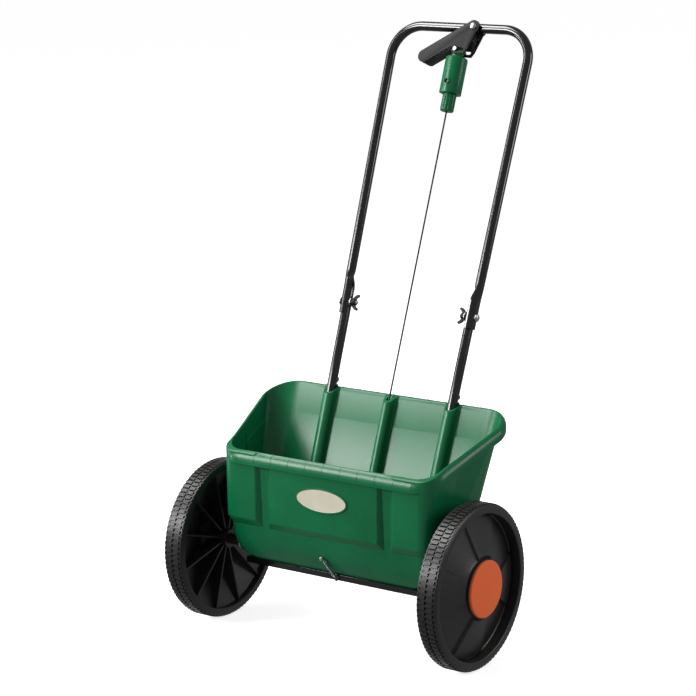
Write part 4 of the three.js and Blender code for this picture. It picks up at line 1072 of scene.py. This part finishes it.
# %% Refined parts
refined_parts = [
    ("control_lever", "lever_plastic", "lever", 0.9),
    ("rate_housing", "green_plastic", "rod", 0.5),
    ("rate_dial", "white_nylon", "knob", 0.4),
    ("rate_knob", "green_plastic", "knob", 0.5),
    ("wing_nut_left", "lever_plastic", "wing_nut_left", 0.5),
    ("wing_nut_right", "lever_plastic", "wing_nut_right", 0.5),
    ("bell_crank", "dark_steel", "crank", 0.3),
    ("metering_slide", "black_paint", "slide", 0.3),
]
for side in ("left", "right"):
    refined_parts += [
        ("tube_plug_" + side, "black_plastic", "frame", 0.3),
        ("joint_bolt_" + side, "zinc_steel", "frame", 0.3),
        ("tube_stop_screw_" + side, "dark_steel", "frame", 0.3),
        ("tube_lock_screw_" + side, "zinc_steel", "frame", 0.3),
        ("agitator_" + side, "white_nylon", "drive", 0.4),
        ("axle_bush_" + side, "white_nylon", "frame", 0.3),
        ("wheel_spacer_" + side, "black_plastic", "drive", 0.4),
    ]
refined_parts += [
    ("lever_bolt", "zinc_steel", "frame", 0.4), ("lever_nut", "zinc_steel", "frame", 0.3),
    ("crank_screw", "zinc_steel", "frame", 0.3), ("axle", "zinc_steel", "drive", 0.3),
    ("rod_grommet", "black_plastic", "frame", 0.2),
]
for node, finish_name, body, width in refined_parts:
    dress(refine(node, width), finish_name, body, node)

# %% [markdown]
# ## Control rod and return spring
# The rod is one length of 3 mm steel wire, so the CAD copy only needs a smooth skin. The spring is
# grown as a thin tube along a helix, with a straight hook at each end.

# %% Control rod
dress(refine("control_rod", 0), "dark_steel", "rod", "control_rod")

# %% Return spring
SPRING_TURNS, COIL_RADIUS, WIRE_RADIUS = 15, 2.1, 0.75
STEPS_A_TURN = 16
HOOK = 0.12  # share of the length that each straight hook takes
low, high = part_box("return_spring")
spring_top = Vector((-9 * MM, low.y + 1.9 * MM, high.z - 3.9 * MM))
spring_foot = Vector((12 * MM, high.y - 1.9 * MM, low.z + 3.2 * MM))
pull = (spring_foot - spring_top).normalized()
across = pull.cross(Vector((0, 1, 0))).normalized()
other = pull.cross(across)


def spring_point(share):
    """The hooks take the first and last parts, and the coil swells in between."""
    coil = min(max((share - HOOK) / (1 - 2 * HOOK), 0), 1)
    swell = COIL_RADIUS * MM * min(1, 14 * coil, 14 * (1 - coil))
    swing = 2 * math.pi * SPRING_TURNS * coil
    centre = spring_top.lerp(spring_foot, share)
    return centre + swell * (math.cos(swing) * across + math.sin(swing) * other)


spring_rings = []
for step in range(SPRING_TURNS * STEPS_A_TURN + 1):
    share = step / (SPRING_TURNS * STEPS_A_TURN)
    ahead = (spring_point(min(share + 0.001, 1)) - spring_point(max(share - 0.001, 0))).normalized()
    first = ahead.cross(pull)
    first = first.normalized() if first.length > 0.05 else across
    second = ahead.cross(first).normalized()
    first = second.cross(ahead).normalized()
    spring_rings.append([
        spring_point(share) + WIRE_RADIUS * MM * (
            math.cos(turn_by) * first + math.sin(turn_by) * second)
        for turn_by in (math.pi * corner / 4 for corner in range(8))])
spring = grow_skin("return_spring_coil", spring_rings)
smooth(spring, 60)
dress(spring, "zinc_steel", "frame", "return_spring")

# %% The rest keeps its CAD shape and gets a finish
for name, node in frame["nodes"].items():
    if node.hide_render:
        continue
    finish_name = "black_plastic" if "spacer" in name else "zinc_steel"
    for material_slot in node.material_slots:
        material_slot.material = finishes[finish_name]
    print(name, "keeps its shape, finish", finish_name)

# %% [markdown]
# ## Light and floor
# The floor is a pale sheet that glows a little, so that it melts into the white room, and it lights
# nothing itself. Two soft lamps in front and above give the broad highlights, a tall narrow one draws
# a line along the tubes, and a weak one on the right fills the shadows.

# %% Floor
deselect()
bpy.ops.mesh.primitive_plane_add(size=60, location=(0, 0, -0.0005))
floor = bpy.context.object
floor.name = "studio_floor"
floor_finish = bpy.data.materials.new("studio floor")
floor_finish.use_nodes = True
floor_sockets = {
    "Base Color": (0.9, 0.9, 0.9, 1),
    "Roughness": 0.9,
    "Specular IOR Level": 0.1,
    "Emission Color": (1, 1, 1, 1),
    "Emission Strength": 0.72,
}
for socket, value in floor_sockets.items():
    floor_finish.node_tree.nodes["Principled BSDF"].inputs[socket].default_value = value
floor.data.materials.append(floor_finish)
floor.visible_diffuse = False
floor.visible_glossy = False
print("floor placed just under the wheels")


# %% Lamps and room
def lamp(name, where, size, power):
    deselect()
    bpy.ops.object.light_add(type="AREA", location=where)
    light = bpy.context.object
    light.name = name
    light.data.shape = "RECTANGLE"
    light.data.size, light.data.size_y = size
    light.data.energy = power
    aim = Vector((0, 0, 0.35))
    light.rotation_euler = (Vector(where) - aim).to_track_quat("Z", "Y").to_euler()
    return light


lamp("left window", (-2.3, -3.0, 1.75), (1.3, 1.2), 105)
lamp("top panel", (-1.62, -0.75, 3.2), (1.5, 1.3), 84)
lamp("tall strip", (-3.0, -1.2, 1.3), (0.3, 3.0), 45)
lamp("right fill", (3.0, 1.2, 1.6), (0.8, 1.8), 30)
room = bpy.data.worlds.new("pale room")
bpy.context.scene.world = room
room.use_nodes = True
seen = room.node_tree.nodes.new("ShaderNodeLightPath")
strength = room.node_tree.nodes.new("ShaderNodeMapRange")
strength.inputs["To Min"].default_value = 0.3
strength.inputs["To Max"].default_value = 1.0
room.node_tree.links.new(seen.outputs["Is Camera Ray"], strength.inputs["Value"])
room.node_tree.links.new(strength.outputs["Result"], room.node_tree.nodes["Background"].inputs["Strength"])
room.node_tree.nodes["Background"].inputs["Color"].default_value = (1, 1, 1, 1)

# %% The end
deselect()
